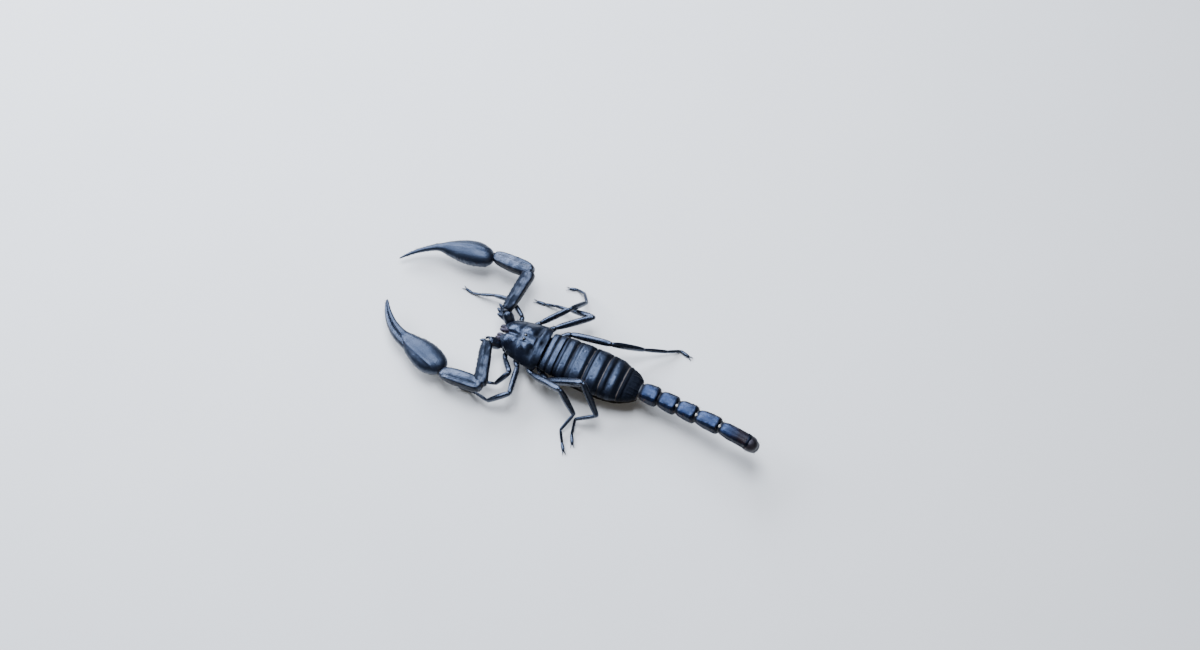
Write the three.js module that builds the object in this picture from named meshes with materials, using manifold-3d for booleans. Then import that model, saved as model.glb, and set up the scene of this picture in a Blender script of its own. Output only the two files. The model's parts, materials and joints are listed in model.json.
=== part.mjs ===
// An adult Asian forest scorpion (Heterometrus), life size, standing still with its claws held forward.
// Millimetres. The animal faces -Y, its left side is +X, +Z is up and the ground is z = 0.
// While it is built, x = y = 0 lies under the middle of the carapace's rear edge.
import * as THREE from "three";
import { mergeVertices } from "three/addons/utils/BufferGeometryUtils.js";
import Module from "manifold-3d";

const wasm = await Module();
wasm.setup();

// ---------------------------------------------------------------- driving dimensions

const JOINT_GAP = 0.3; // clear space between two hard pieces that meet
const PLATE_THICKNESS = 0.7; // back and belly plates
const PLATE_STEP = 0.28; // rise of a back plate from its front edge to its rear edge

const CARAPACE_LENGTH = 17;
const CARAPACE_FLOOR = 6.4; // height of its side margins
const TERGITE_LENGTHS = [3.7, 2.8, 4.1, 6.5, 6.5, 7.3, 5.7];
const TRUNK_LENGTH = TERGITE_LENGTHS.reduce((sum, length) => sum + length, 0);
const FLANK_HEIGHT = 7.0; // where the back plates end and the soft flank begins

const TAIL_SEGMENTS = [
  { length: 7.0, width: 6.9, height: 6.1, heading: 0, pitch: 2 },
  { length: 7.3, width: 6.5, height: 5.9, heading: 4, pitch: 6 },
  { length: 7.7, width: 6.2, height: 5.7, heading: 6, pitch: 11 },
  { length: 9.4, width: 5.9, height: 5.4, heading: 7, pitch: 13 },
  { length: 12.2, width: 5.4, height: 5.0, heading: 9, pitch: 10 },
];
const TAIL_ROOT = new THREE.Vector3(0, TRUNK_LENGTH, 8.0);
const TELSON_WIDTH = 4.7;

const PEDIPALP_ROOT = [4.6, -16.4, 6.2];
const PEDIPALP_LENGTHS = { trochanter: 5.0, femur: 17.2, patella: 15.7, hand: 18.5, finger: 17.8 };
const PEDIPALP_WIDTHS = { trochanter: 4.2, femur: 4.7, patella: 5.6, hand: 10.6, finger: 3.3 };
const PEDIPALP_POSES = {
  left: {
    trochanter: [20, 37],
    femur: [108, 1],
    patella: [2, -10],
    hand: [-18, -1],
    finger: [-42, -4],
  },
  right: {
    trochanter: [40, 40],
    femur: [95, 4],
    patella: [5, -11],
    hand: [-11, -2],
    finger: [-35, -13],
  },
};
// The hand's breadth, and where each finger leaves the knuckle: inwards, how far it bows out, and up,
// then its width and height. The right claw is rolled, so its movable finger lies under the fixed one.
const CLAWS = {
  left: { breadth: 1, spur: 2.9, fixed: [1.35, 3.7, 0.3, 2.1, 2.6], movable: [-1.15, 3.1, -0.1, 2.85, 3.05] },
  right: { breadth: 0.88, spur: 4.2, fixed: [1.0, 2.5, 1.0, 2, 1.9], movable: [0.15, 2.5, -1.05, 2, 1.9] },
};

// Legs run 1 to 4 from the front. Each has a trochanter, femur, patella, tibia, basitarsus and tarsus.
const HIPS = [
  [6.2, -13.5, 4.5],
  [7.0, -9.0, 4.5],
  [7.5, -4.0, 4.2],
  [7.6, 1.8, 4.4],
];
const LEG_LENGTHS = [
  [2.9, 7.5, 7.0, 5.9, 3.8, 2.9],
  [3.5, 12.0, 9.3, 6.0, 4.0, 3.0],
  [4.0, 14.7, 11.0, 7.1, 4.6, 3.3],
  [4.1, 16.3, 12.9, 8.6, 5.5, 3.8],
];
const LEG_THICKNESS = [2.2, 2.35, 2.5, 2.7]; // the femur's depth
// How much broader than its plain profile each leg is from above: the left hind legs lie on their sides.
const LEG_BREADTH = { left: [1.25, 1.25, 1.36, 1.36], right: [1.12, 1.12, 1.12, 1.1] };
// Headings of all six pieces, then the pitches of the first three. The rest slope down to the ground.
const LEG_POSES = {
  left: [
    { headings: [120, 131, 52, 3, -3, 10], pitches: [19, 29, -35] },
    { headings: [131, 103, 31, -17, -7, 6], pitches: [24, 16, -31] },
    { headings: [143, 165, 153, 71, 122, 125], pitches: [20, 27, -46] },
    { headings: [142, -174, 142, 22, 100, 118], pitches: [26, 33, -37] },
  ],
  right: [
    { headings: [83, 33, -2, -10, -3, 12], pitches: [12, 3, -11] },
    { headings: [133, 138, 115, 55, 19, -18], pitches: [22, 24, -34] },
    { headings: [139, 147, 7, 4, -3, -7], pitches: [21, 20, -30] },
    { headings: [144, 177, 153, 152, 145, -166], pitches: [22, 17, -27] },
  ],
};
const TARSUS_HEIGHT = 0.45; // its centre line over the ground
const GROUND_CUTTER = { side: 200, depth: 4 };

const MEDIAN_EYE = { radius: 0.62, apart: 1.5, y: -8.3 };
const LATERAL_EYE_RADIUS = 0.36;
const EYE_SOCKET_GAP = 0.08;
// The first and the last of the three lenses on a side.
const LATERAL_EYE_PLACES = [
  [5.75, -14.1],
  [6.5, -12.7],
];

// ---------------------------------------------------------------- materials

const hue = (colour, roughness, metalness = 0) =>
  new THREE.MeshStandardMaterial({ color: colour, roughness, metalness });

const MATERIALS = {
  back: () => hue(0x1c2433, 0.38),
  tail: () => hue(0x1d2a42, 0.34),
  claw: () => hue(0x1f2937, 0.42),
  limb: () => hue(0x14181f, 0.32),
  belly: () => hue(0x2a211d, 0.5),
  membrane: () => hue(0x4a3a2e, 0.7),
  comb: () => hue(0x8a6f4d, 0.6),
  telson: () => hue(0x2c1d1e, 0.4),
  eye: () => hue(0x050608, 0.08),
};

// ---------------------------------------------------------------- shape tools

const UP = new THREE.Vector3(0, 0, 1);
const SIDE_SIGN = { left: 1, right: -1 };
const { degToRad, lerp, smoothstep } = THREE.MathUtils;

const point = (x, y, z) => new THREE.Vector3(x, y, z);
const bump = (distance, width) => Math.exp(-((distance / width) ** 2));
const centreOf = (points) =>
  points.reduce((sum, p) => sum.add(p), point(0, 0, 0)).divideScalar(points.length);

// A heading of 0 is straight ahead, 90 straight out to the limb's own side and 180 backwards.
function direction(sign, heading, pitch) {
  const turn = degToRad(heading);
  const rise = degToRad(pitch);
  return point(
    sign * Math.sin(turn) * Math.cos(rise),
    -Math.cos(turn) * Math.cos(rise),
    Math.sin(rise),
  );
}

// A smooth value between stations [place, value], level beyond both ends.
function profile(stations) {
  const places = stations.map(([place]) => place);
  const line = new THREE.SplineCurve(stations.map(([place, value]) => new THREE.Vector2(place, value)));
  return (place) => {
    const last = stations.length - 1;
    if (place <= places[0]) return stations[0][1];
    if (place >= places[last]) return stations[last][1];
    const index = places.findIndex((next) => next > place) - 1;
    const within = (place - places[index]) / (places[index + 1] - places[index]);
    return line.getPoint((index + within) / last).y;
  };
}

// A point on a rounded square: squareness 2 is an ellipse, higher is boxier.
function roundedSquare(angle, width, height, squareness) {
  const power = 2 / squareness;
  const across = Math.sign(Math.cos(angle)) * Math.abs(Math.cos(angle)) ** power;
  const upwards = Math.sign(Math.sin(angle)) * Math.abs(Math.sin(angle)) ** power;
  return [(across * width) / 2, (upwards * height) / 2];
}

function solidOf(points, faces) {
  const geometry = new THREE.BufferGeometry().setFromPoints(points);
  return new wasm.Manifold(
    new wasm.Mesh({
      numProp: 3,
      vertProperties: geometry.getAttribute("position").array,
      triVerts: new Uint32Array(faces),
    }),
  );
}

// A solid skinned over rings with equally many points, each running anticlockwise round the way ahead.
function skin(rings) {
  const count = rings[0].length;
  const points = rings.flat();
  const first = points.push(centreOf(rings[0])) - 1;
  const last = points.push(centreOf(rings.at(-1))) - 1;
  const lastRing = (rings.length - 1) * count;
  const faces = [];
  for (let i = 0; i < count; i += 1) {
    const next = (i + 1) % count;
    for (let row = 0; row < lastRing; row += count) {
      faces.push(row + i, row + next, row + count + next);
      faces.push(row + i, row + count + next, row + count + i);
    }
    faces.push(first, next, i);
    faces.push(last, lastRing + i, lastRing + next);
  }
  return solidOf(points, faces);
}

// A curved plate: upper and lower give its faces for s from -1 (right) to 1 (left) and t from 0 to 1 (rear).
function plate(across, lengthwise, upper, lower) {
  const rows = lengthwise + 1;
  const grid = (surface) => {
    const cells = [];
    for (let i = 0; i <= across; i += 1)
      for (let j = 0; j < rows; j += 1) cells.push(surface((2 * i) / across - 1, j / lengthwise));
    return cells;
  };
  const top = grid(upper);
  const offset = top.length;
  const at = (i, j) => i * rows + j;
  const faces = [];
  const quad = (a, b, c, d) => faces.push(a, b, c, a, c, d);
  const edge = (a, b) => quad(a, a + offset, b + offset, b);
  for (let i = 0; i < across; i += 1)
    for (let j = 0; j < lengthwise; j += 1) {
      const corners = [at(i, j), at(i + 1, j), at(i + 1, j + 1), at(i, j + 1)];
      quad(...corners);
      quad(...corners.map((corner) => corner + offset).reverse());
    }
  for (let i = 0; i < across; i += 1) {
    edge(at(i, 0), at(i + 1, 0));
    edge(at(i + 1, lengthwise), at(i, lengthwise));
  }
  for (let j = 0; j < lengthwise; j += 1) {
    edge(at(0, j + 1), at(0, j));
    edge(at(across, j), at(across, j + 1));
  }
  return solidOf([...top, ...grid(lower)], faces);
}

// One hard length of a limb along a line. Stations are [t, width, height, outward shift, upward shift].
// A margin above 0 gives the larger solid that clears room for it.
function limbPiece({ line, sign, stations, facets = 10, squareness = 2.5, side }, margin = 0) {
  const lastStation = stations.length - 1;
  const rings = stations.map(([t, width, height, outward = 0, lift = 0], index) => {
    const ahead = line.getTangent(t);
    const across = (side ?? UP.clone().cross(ahead)).clone().normalize();
    const upwards = ahead.clone().cross(across).normalize();
    const push = margin * (Number(index === lastStation) - Number(index === 0));
    const centre = line.getPoint(t).addScaledVector(ahead, push);
    const ring = [];
    for (let i = 0; i < facets; i += 1) {
      const angle = (2 * Math.PI * (i + 0.5)) / facets;
      const [a, b] = roundedSquare(angle, width + 2 * margin, height + 2 * margin, squareness);
      ring.push(
        centre
          .clone()
          .addScaledVector(across, a + sign * outward)
          .addScaledVector(upwards, b + lift),
      );
    }
    return ring;
  });
  return skin(rings);
}

const straight = (from, to) => new THREE.LineCurve3(from, to);
const join = (solids) => solids.reduce((whole, solid) => whole.add(solid));

// What is left of a solid after the cutters have gone through it, without the chips they leave loose.
function carve(solid, cutters) {
  const rest = cutters.reduce((left, cutter) => left.subtract(cutter), solid);
  return rest.decompose().reduce((most, body) => (body.volume() > most.volume() ? body : most));
}

// One of the library's closed geometries as a solid.
function solidFrom(geometry) {
  geometry.deleteAttribute("normal");
  geometry.deleteAttribute("uv");
  const merged = mergeVertices(geometry);
  return new wasm.Manifold(
    new wasm.Mesh({
      numProp: 3,
      vertProperties: merged.getAttribute("position").array,
      triVerts: new Uint32Array(merged.getIndex().array),
    }),
  );
}

const sphere = (centre, radius, segments) =>
  solidFrom(
    new THREE.SphereGeometry(radius, segments, segments / 2).translate(centre.x, centre.y, centre.z),
  );

// ---------------------------------------------------------------- the trunk and its plates

const trunkHalfWidth = profile([
  [0, 7.5],
  [6, 8.1],
  [14, 8.5],
  [24, 8.5],
  [30, 7.5],
  [34, 5.7],
  [TRUNK_LENGTH, 4.0],
]);
const trunkTop = profile([
  [0, 10.5],
  [5, 11.5],
  [14, 12.1],
  [23, 12.0],
  [30, 11.0],
  [TRUNK_LENGTH, 10.2],
]);
const trunkBelly = profile([
  [0, 3.4],
  [8, 2.9],
  [22, 2.9],
  [30, 3.6],
  [TRUNK_LENGTH, 5.6],
]);
const flankHeight = profile([
  [0, FLANK_HEIGHT],
  [28, FLANK_HEIGHT],
  [TRUNK_LENGTH, 7.6],
]);

// A point of the back at s from -1 (right flank) to 1 (left flank), inset below the plates' surface.
function backPoint(s, y, inset) {
  const angle = (s * 0.97 * Math.PI) / 2;
  const margin = flankHeight(y);
  const x = Math.sign(s) * (trunkHalfWidth(y) - inset) * Math.abs(Math.sin(angle)) ** 0.88;
  const z = margin + (trunkTop(y) - margin - inset) * Math.abs(Math.cos(angle)) ** 0.8;
  return point(x, y, z);
}

// A point of the belly, likewise, from a little under the flank down to the midline.
function bellyPoint(s, y, inset) {
  const angle = (s * 0.9 * Math.PI) / 2;
  const margin = flankHeight(y) - 1.5;
  const x = Math.sign(s) * (trunkHalfWidth(y) - 0.5 - inset) * Math.abs(Math.sin(angle)) ** 0.8;
  const z = margin - (margin - trunkBelly(y) - inset) * Math.abs(Math.cos(angle)) ** 0.55;
  return point(x, y, z);
}

const tergiteStarts = TERGITE_LENGTHS.map((_, index) =>
  TERGITE_LENGTHS.slice(0, index).reduce((sum, length) => sum + length, 0),
);

// Each back plate rises from its front edge to its rear edge, so the plates step like tiles.
function tergite(index) {
  const start = tergiteStarts[index] + (index === 0 ? JOINT_GAP : 0);
  const length = TERGITE_LENGTHS[index] - JOINT_GAP - (index === 0 ? JOINT_GAP : 0);
  const upper = (s, t) => backPoint(s, start + length * t, PLATE_STEP * (1 - t));
  const lower = (s, t) => backPoint(s, start + length * t, PLATE_THICKNESS + PLATE_STEP);
  return plate(10, 2, upper, lower);
}

const STERNITE_EDGES = [9.2, 14.2, 19.6, 25.2, 30.8, TRUNK_LENGTH];

function sternite(index) {
  const start = STERNITE_EDGES[index];
  const length = STERNITE_EDGES[index + 1] - start - JOINT_GAP;
  const upper = (s, t) => bellyPoint(s, start + length * t, PLATE_THICKNESS);
  const lower = (s, t) => bellyPoint(s, start + length * t, 0);
  return plate(8, 1, upper, lower);
}

// The soft body inside the plates, bulging at the flanks where the folded membrane shows.
function trunkBody() {
  const underBack = PLATE_THICKNESS + PLATE_STEP + JOINT_GAP;
  const underBelly = PLATE_THICKNESS + 1.5 * JOINT_GAP;
  const rings = [];
  for (const y of [0.4, 5, 12, 22, 29, 33, TRUNK_LENGTH - 0.6]) {
    const ring = [];
    for (let i = 0; i <= 8; i += 1) ring.push(backPoint(1 - i / 4, y, underBack));
    const halfWidth = trunkHalfWidth(y);
    for (const [inset, drop] of [[0.45, 0.75], [0.75, 1.1]]) {
      ring.push(point(inset - halfWidth, y, flankHeight(y) - drop));
      ring.unshift(point(halfWidth - inset, y, flankHeight(y) - drop));
    }
    for (let i = 0; i <= 6; i += 1) ring.push(bellyPoint(i / 3 - 1, y, underBelly));
    rings.push(ring);
  }
  return skin(rings.map((ring) => ring.reverse()));
}

// ---------------------------------------------------------------- the carapace and the head

const carapaceHalfWidth = profile([
  [-CARAPACE_LENGTH, 5.2],
  [-15, 6.1],
  [-11, 7.2],
  [-5, 8.3],
  [-2, 8.5],
  [0, 7.9],
]);

// The top of the carapace: two front lobes, an eye mound, a midline furrow and a forked rear hollow.
function carapaceHeight(x, y) {
  const edge = Math.min(Math.abs(x) / carapaceHalfWidth(y), 1);
  const crown = 10.9 - 0.012 * (y + 5) ** 2;
  const dome = (1 - edge ** 2.6) ** 0.62;
  const front = smoothstep(y, -CARAPACE_LENGTH - 1.2, -CARAPACE_LENGTH + 2.6);
  const eyeMound = 0.75 * bump(x, 1.7) * bump(y + 8, 2.1);
  const furrow = 0.5 * bump(x, 0.7) * (1 - smoothstep(y, -11.2, -9.8) + smoothstep(y, -6.6, -5.2));
  const fork = 0.55 * bump(Math.abs(x) - 0.72 * (y + 5.4), 0.8) * smoothstep(y, -5.4, -3.6);
  const pit = 0.5 * bump(x, 1.3) * bump(y + 2.2, 1.5);
  const cheek = 0.3 * bump(Math.abs(x) - 4.4, 2) * bump(y + 4, 2.6);
  const lobe = 0.35 * bump(Math.abs(x) - 3.1, 1.8) * bump(y + 13.2, 2.4);
  const shape = (crown - CARAPACE_FLOOR) * dome * lerp(0.62, 1, front);
  return CARAPACE_FLOOR + 0.35 + shape + (eyeMound + cheek + lobe - furrow - fork - pit) * dome;
}

// The front edge runs back to a notch between two lobes and again at the corners.
function carapaceFront(s) {
  const lobe = bump(Math.abs(s) - 0.5, 0.34);
  return -CARAPACE_LENGTH + 2.6 * (1 - lobe) + 0.5 * Math.abs(s) ** 6;
}

function carapaceSolid() {
  const place = (s, t) => {
    const front = carapaceFront(s);
    const rear = -0.1 - 0.9 * s ** 6;
    const y = lerp(front, rear, t);
    const inwards = 1 - 0.05 * (1 - t) * (1 - Math.abs(s));
    const x = s * carapaceHalfWidth(y) * inwards;
    return [x, y];
  };
  const upper = (s, t) => {
    const [x, y] = place(s, t);
    return point(x, y, carapaceHeight(x, y));
  };
  const lower = (s, t) => {
    const [x, y] = place(s, t);
    return point(x * 0.985, y, CARAPACE_FLOOR);
  };
  return plate(12, 9, upper, lower);
}

function medianEyeCentre(sign) {
  const x = (sign * MEDIAN_EYE.apart) / 2;
  return point(x, MEDIAN_EYE.y, carapaceHeight(x, MEDIAN_EYE.y) - 0.12);
}

// Three small lenses in a row at the front corner, on a low ridge that necks in between them.
function lateralEyes(sign, margin = 0) {
  const onShell = ([x, y]) => point(sign * x, y, carapaceHeight(x * 0.97, y));
  const first = onShell(LATERAL_EYE_PLACES[0]);
  const last = onShell(LATERAL_EYE_PLACES[1]);
  const wide = 2 * LATERAL_EYE_RADIUS;
  const ends = LATERAL_EYE_RADIUS / first.distanceTo(last);
  const neck = 0.55 * wide;
  const ridge = {
    line: straight(first.clone().lerp(last, -ends), last.clone().lerp(first, -ends)),
    sign,
    stations: [
      [0, 0.4 * wide, 0.4 * wide],
      [0.13, wide, wide],
      [0.32, neck, neck],
      [0.5, wide, wide],
      [0.68, neck, neck],
      [0.87, wide, wide],
      [1, 0.4 * wide, 0.4 * wide],
    ],
    facets: 6,
    squareness: 2,
  };
  return limbPiece(ridge, margin);
}

const UNDERSIDE_FACETS = 10;

// The block of leg bases under the carapace, with each coxa as its own ridge.
function leggedUnderside(margin = 0) {
  const rings = [];
  for (const [y, halfWidth, low] of [
    [-14.6, 4.2, 4.3],
    [-13.6, 5.2, 3.6],
    [-9, 6.1, 3.2],
    [-4, 6.6, 3.1],
    [-0.6, 6.6, 3.2],
    [0.1, 6.2, 3.6],
  ]) {
    const high = CARAPACE_FLOOR - JOINT_GAP;
    const ring = [];
    for (let i = 0; i < UNDERSIDE_FACETS; i += 1) {
      const angle = (2 * Math.PI * (i + 0.5)) / UNDERSIDE_FACETS;
      const [a, b] = roundedSquare(angle, 2 * (halfWidth + margin), high - low + 2 * margin, 3.2);
      ring.push(point(-a, y, (high + low) / 2 + b));
    }
    rings.push(ring);
  }
  const coxae = [];
  for (const sign of [1, -1])
    HIPS.forEach(([x, y, z], index) => {
      const inner = point(sign * 1.2, lerp(y, -6.5, 0.55), 3.75);
      const outer = point(sign * x, y - 0.3, z);
      const width = 2.6 + 0.15 * index;
      const coxa = {
        line: straight(inner, outer),
        sign,
        stations: [
          [0, width * 0.6, 1.6],
          [0.97, width, 2.4],
        ],
        facets: 5,
      };
      coxae.push(limbPiece(coxa, margin));
    });
  return join([skin(rings), ...coxae]);
}

// Each chelicera is a short thick pincer: a body, a fixed finger and a curved movable one.
function chelicera(sign, margin = 0) {
  const base = point(sign * 1.85, -13.4, 6.9);
  const knuckle = point(sign * 1.85, -17.2, 6.7);
  const body = {
    line: straight(base, knuckle),
    sign,
    stations: [
      [0, 2.4, 2.4],
      [0.3, 3.1, 3.2],
      [0.8, 3.2, 3.2],
      [1, 2.3, 2.2],
    ],
    facets: 8,
  };
  const finger = (inward, reach, drop) => ({
    line: new THREE.QuadraticBezierCurve3(
      knuckle.clone().add(point(sign * inward, 0.5, 0)),
      knuckle.clone().add(point(sign * inward * 1.5, -reach * 0.6, drop * 0.4)),
      knuckle.clone().add(point(sign * inward * 0.3, -reach, drop)),
    ),
    sign,
    stations: [
      [0, 1.4, 1.7],
      [0.6, 1.0, 1.2],
      [1, 0.5, 0.5],
    ],
    facets: 6,
  });
  const pieces = [body, finger(-0.7, 1.7, -0.5), finger(0.8, 1.9, -0.7)];
  return join(pieces.map((piece) => limbPiece(piece, margin)));
}

// ---------------------------------------------------------------- the pedipalps

const FINGER_TAPER = [
  [0, 0.95],
  [0.12, 1],
  [0.45, 0.78],
  [0.8, 0.48],
  [0.97, 0.26],
  [1, 0.16],
];

function pedipalp(side) {
  const sign = SIDE_SIGN[side];
  const pose = PEDIPALP_POSES[side];
  const [rootX, rootY, rootZ] = PEDIPALP_ROOT;
  const joints = [point(sign * rootX, rootY, rootZ)];
  for (const name of ["trochanter", "femur", "patella", "hand", "finger"])
    joints.push(
      joints.at(-1).clone().addScaledVector(direction(sign, ...pose[name]), PEDIPALP_LENGTHS[name]),
    );
  const [root, shoulder, elbow, wrist, knuckle, tip] = joints;
  const width = PEDIPALP_WIDTHS;

  const trochanter = {
    line: straight(root.clone().lerp(shoulder, -0.15), shoulder),
    sign,
    stations: [
      [0, width.trochanter * 0.6, 2.6],
      [0.3, width.trochanter * 0.95, 3.7],
      [0.75, width.trochanter, 3.9],
      [1, width.trochanter * 0.55, 2.3],
    ],
    squareness: 2.6,
  };
  const femur = {
    line: straight(shoulder, elbow),
    sign,
    stations: [
      [0.02, width.femur * 0.55, 2.4],
      [0.1, width.femur * 0.82, 3.4],
      [0.5, width.femur * 0.97, 3.8],
      [0.86, width.femur * 1.06, 4.0],
      [0.96, width.femur * 0.95, 3.6],
      [1.03, width.femur * 0.6, 2.4],
    ],
    facets: 10,
    squareness: 3.4,
  };
  const patella = {
    line: straight(elbow.clone().lerp(wrist, -0.06), wrist),
    sign,
    stations: [
      [0, width.patella * 0.55, 2.4],
      [0.08, width.patella * 0.8, 3.8, 0.2],
      [0.3, width.patella * 1.02, 4.4, 0.1],
      [0.72, width.patella * 0.98, 4.3],
      [0.9, width.patella * 0.8, 3.8],
      [1, width.patella * 0.52, 2.4],
    ],
    facets: 10,
    squareness: 3.3,
  };
  // The hand bulges inwards behind its base and draws in to the two fingers.
  const broad = width.hand * CLAWS[side].breadth;
  const hand = {
    line: new THREE.QuadraticBezierCurve3(
      wrist,
      wrist.clone().lerp(knuckle, 0.5).add(point(sign * 0.9, 0, 0.2)),
      knuckle,
    ),
    sign,
    stations: [
      [0.0, broad * 0.34, 2.6, 0],
      [0.06, broad * 0.6, 4.4, -0.9],
      [0.18, broad * 0.86, 6.0, -1.05],
      [0.36, broad * 0.99, 6.7, -1.1],
      [0.58, broad * 0.93, 6.2, -1.1],
      [0.8, broad * 0.68, 4.8, -1.0],
      [1.0, broad * 0.46, 3.5, -0.9],
    ],
    facets: 12,
    squareness: 2.35,
  };
  const inwards = direction(sign, pose.finger[0] - 90, 0);
  const finger = ([sideways, bulge, lift, wide, high]) => {
    const start = knuckle.clone().addScaledVector(inwards, sideways);
    const middle = knuckle.clone().lerp(tip, 0.5).addScaledVector(inwards, sideways - bulge);
    const end = tip.clone().addScaledVector(inwards, sideways * 0.2);
    start.z += lift;
    middle.z += lift;
    const stations = FINGER_TAPER.map(([t, part]) => [t, wide * part, high * part]);
    return { line: new THREE.QuadraticBezierCurve3(start, middle, end), sign, stations, facets: 8 };
  };
  const fixedFinger = finger(CLAWS[side].fixed);
  const movableFinger = finger(CLAWS[side].movable);

  // A pointed tubercle stands on the front of the trochanter.
  const spurRoot = root.clone().lerp(shoulder, 0.35);
  const spur = limbPiece({
    line: straight(
      spurRoot,
      root.clone().lerp(shoulder, 0.75).add(point(sign * 0.6, -CLAWS[side].spur, 0.3)),
    ),
    sign,
    stations: [
      [0, 2.4, 2.4],
      [0.6, 1.5, 1.5],
      [1, 0.4, 0.4],
    ],
    facets: 6,
  });

  const solids = {
    trochanter: limbPiece(trochanter).add(spur),
    femur: carve(limbPiece(femur), [limbPiece(trochanter, JOINT_GAP), limbPiece(patella, JOINT_GAP)]),
    patella: limbPiece(patella),
    hand: carve(limbPiece(hand).add(limbPiece(fixedFinger)), [
      limbPiece(patella, JOINT_GAP),
      limbPiece(movableFinger, JOINT_GAP),
    ]),
    movable_finger: limbPiece(movableFinger),
  };
  return { solids, socket: limbPiece(trochanter, JOINT_GAP) };
}

// ---------------------------------------------------------------- the legs

function legJoints(side, index) {
  const sign = SIDE_SIGN[side];
  const lengths = LEG_LENGTHS[index];
  const { headings, pitches } = LEG_POSES[side][index];
  const [hipX, hipY, hipZ] = HIPS[index];
  const joints = [point(sign * hipX, hipY, hipZ)];
  const step = (number, pitch) => {
    const way = direction(sign, headings[number], pitch);
    joints.push(joints.at(-1).clone().addScaledVector(way, lengths[number]));
  };
  pitches.forEach((pitch, number) => step(number, pitch));
  const fall = (TARSUS_HEIGHT - joints[3].z) / (lengths[3] + lengths[4]);
  const slope = THREE.MathUtils.radToDeg(Math.asin(fall));
  step(3, slope);
  step(4, slope);
  step(5, 0);
  return joints;
}

// Profiles of the trochanter, femur and patella, as parts of the femur's depth: [t, width, height].
const LEG_FACETS = [6, 7, 6];
const LEG_PROFILES = [
  [
    [-0.12, 0.6, 0.7],
    [0.35, 0.84, 0.94],
    [1.08, 0.62, 0.72],
  ],
  [
    [-0.02, 0.5, 0.66],
    [0.2, 0.72, 1.0],
    [0.82, 0.7, 1.02],
    [1.03, 0.48, 0.62],
  ],
  [
    [-0.03, 0.48, 0.64],
    [0.2, 0.66, 0.92],
    [0.75, 0.6, 0.84],
    [1.03, 0.42, 0.5],
  ],
];
// The tibia, basitarsus and tarsus are pieces 3 to 5: [piece, part of its length, width, height].
const FOOT_FACETS = 6;
const FOOT_PROFILE = [
  [3, 0, 0.42, 0.5],
  [3, 0.3, 0.52, 0.62],
  [4, 0, 0.42, 0.48],
  [5, 0, 0.38, 0.42],
  [5, 0.5, 0.48, 0.52],
  [5, 1, 0.34, 0.36],
];

// Whatever of a foot would reach under the ground is cut off, so each tarsus stands on a small flat.
const belowGround = solidFrom(
  new THREE.BoxGeometry(GROUND_CUTTER.side, GROUND_CUTTER.side, GROUND_CUTTER.depth).translate(
    0,
    0,
    -GROUND_CUTTER.depth / 2,
  ),
);

// The leg beyond the patella is one length, bent at its two joints.
function foot(sign, depth, joints, lengths) {
  const line = new THREE.CurvePath();
  for (let piece = 3; piece < 6; piece += 1) line.add(straight(joints[piece], joints[piece + 1]));
  const reach = (piece) => lengths.slice(3, piece).reduce((sum, length) => sum + length, 0);
  const stations = FOOT_PROFILE.map(([piece, part, width, height]) => [
    (reach(piece) + part * lengths[piece]) / reach(6),
    width * depth,
    height * depth,
  ]);
  return limbPiece({ line, sign, stations, facets: FOOT_FACETS });
}

function leg(side, index) {
  const sign = SIDE_SIGN[side];
  const depth = LEG_THICKNESS[index];
  const joints = legJoints(side, index);
  const pieces = LEG_PROFILES.map((stations, number) => ({
    line: straight(joints[number], joints[number + 1]),
    sign,
    stations: stations.map(([t, width, height]) => [
      t,
      width * depth * (number ? LEG_BREADTH[side][index] : 1),
      height * depth,
    ]),
    facets: LEG_FACETS[number],
  }));
  const [trochanter, femur, patella] = pieces;
  const toe = joints[6];
  const ahead = direction(sign, LEG_POSES[side][index].headings[5], 0);
  const aside = direction(sign, LEG_POSES[side][index].headings[5] + 90, 0);
  const claws = [0.32, -0.32].map((apart) => {
    const root = toe.clone().addScaledVector(ahead, -0.4).addScaledVector(aside, apart * 0.7);
    const tip = toe.clone().addScaledVector(ahead, 1.2).addScaledVector(aside, apart * 1.9);
    tip.z = 0.3;
    return limbPiece({
      line: straight(root, tip),
      sign,
      stations: [
        [0, 0.52, 0.56],
        [1, 0.32, 0.32],
      ],
      facets: 4,
    });
  });
  const bent = foot(sign, depth, joints, LEG_LENGTHS[index]);
  const lower = carve(join([limbPiece(patella), bent, ...claws]), [
    limbPiece(femur, JOINT_GAP / 2),
    belowGround,
  ]);
  return {
    upper: join([limbPiece(trochanter), limbPiece(femur)]),
    lower,
    socket: limbPiece(trochanter, JOINT_GAP),
    room: limbPiece(femur, JOINT_GAP),
  };
}

// ---------------------------------------------------------------- the tail

const tailJoints = [TAIL_ROOT];
for (const { length, heading, pitch } of TAIL_SEGMENTS)
  tailJoints.push(
    tailJoints.at(-1).clone().addScaledVector(direction(-1, 180 + heading, pitch), length),
  );

function tailSegment(index) {
  const { width, height } = TAIL_SEGMENTS[index];
  const start = tailJoints[index];
  const end = tailJoints[index + 1];
  const length = start.distanceTo(end);
  const gap = (0.85 * JOINT_GAP) / length;
  const last = index === TAIL_SEGMENTS.length - 1;
  const neck = last ? 0.86 : 0.8;
  return {
    line: straight(start, end),
    sign: 1,
    stations: [
      [gap, width * 0.66, height * 0.66],
      [0.12, width * neck, height * 0.84],
      [0.3, width * 0.97, height * 0.98],
      [0.8, width, height * 1.02],
      [0.94, width * 0.88, height * 0.9],
      [1 - gap, width * 0.66, height * 0.68],
    ],
    facets: 10,
    squareness: 2.9,
  };
}

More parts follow.
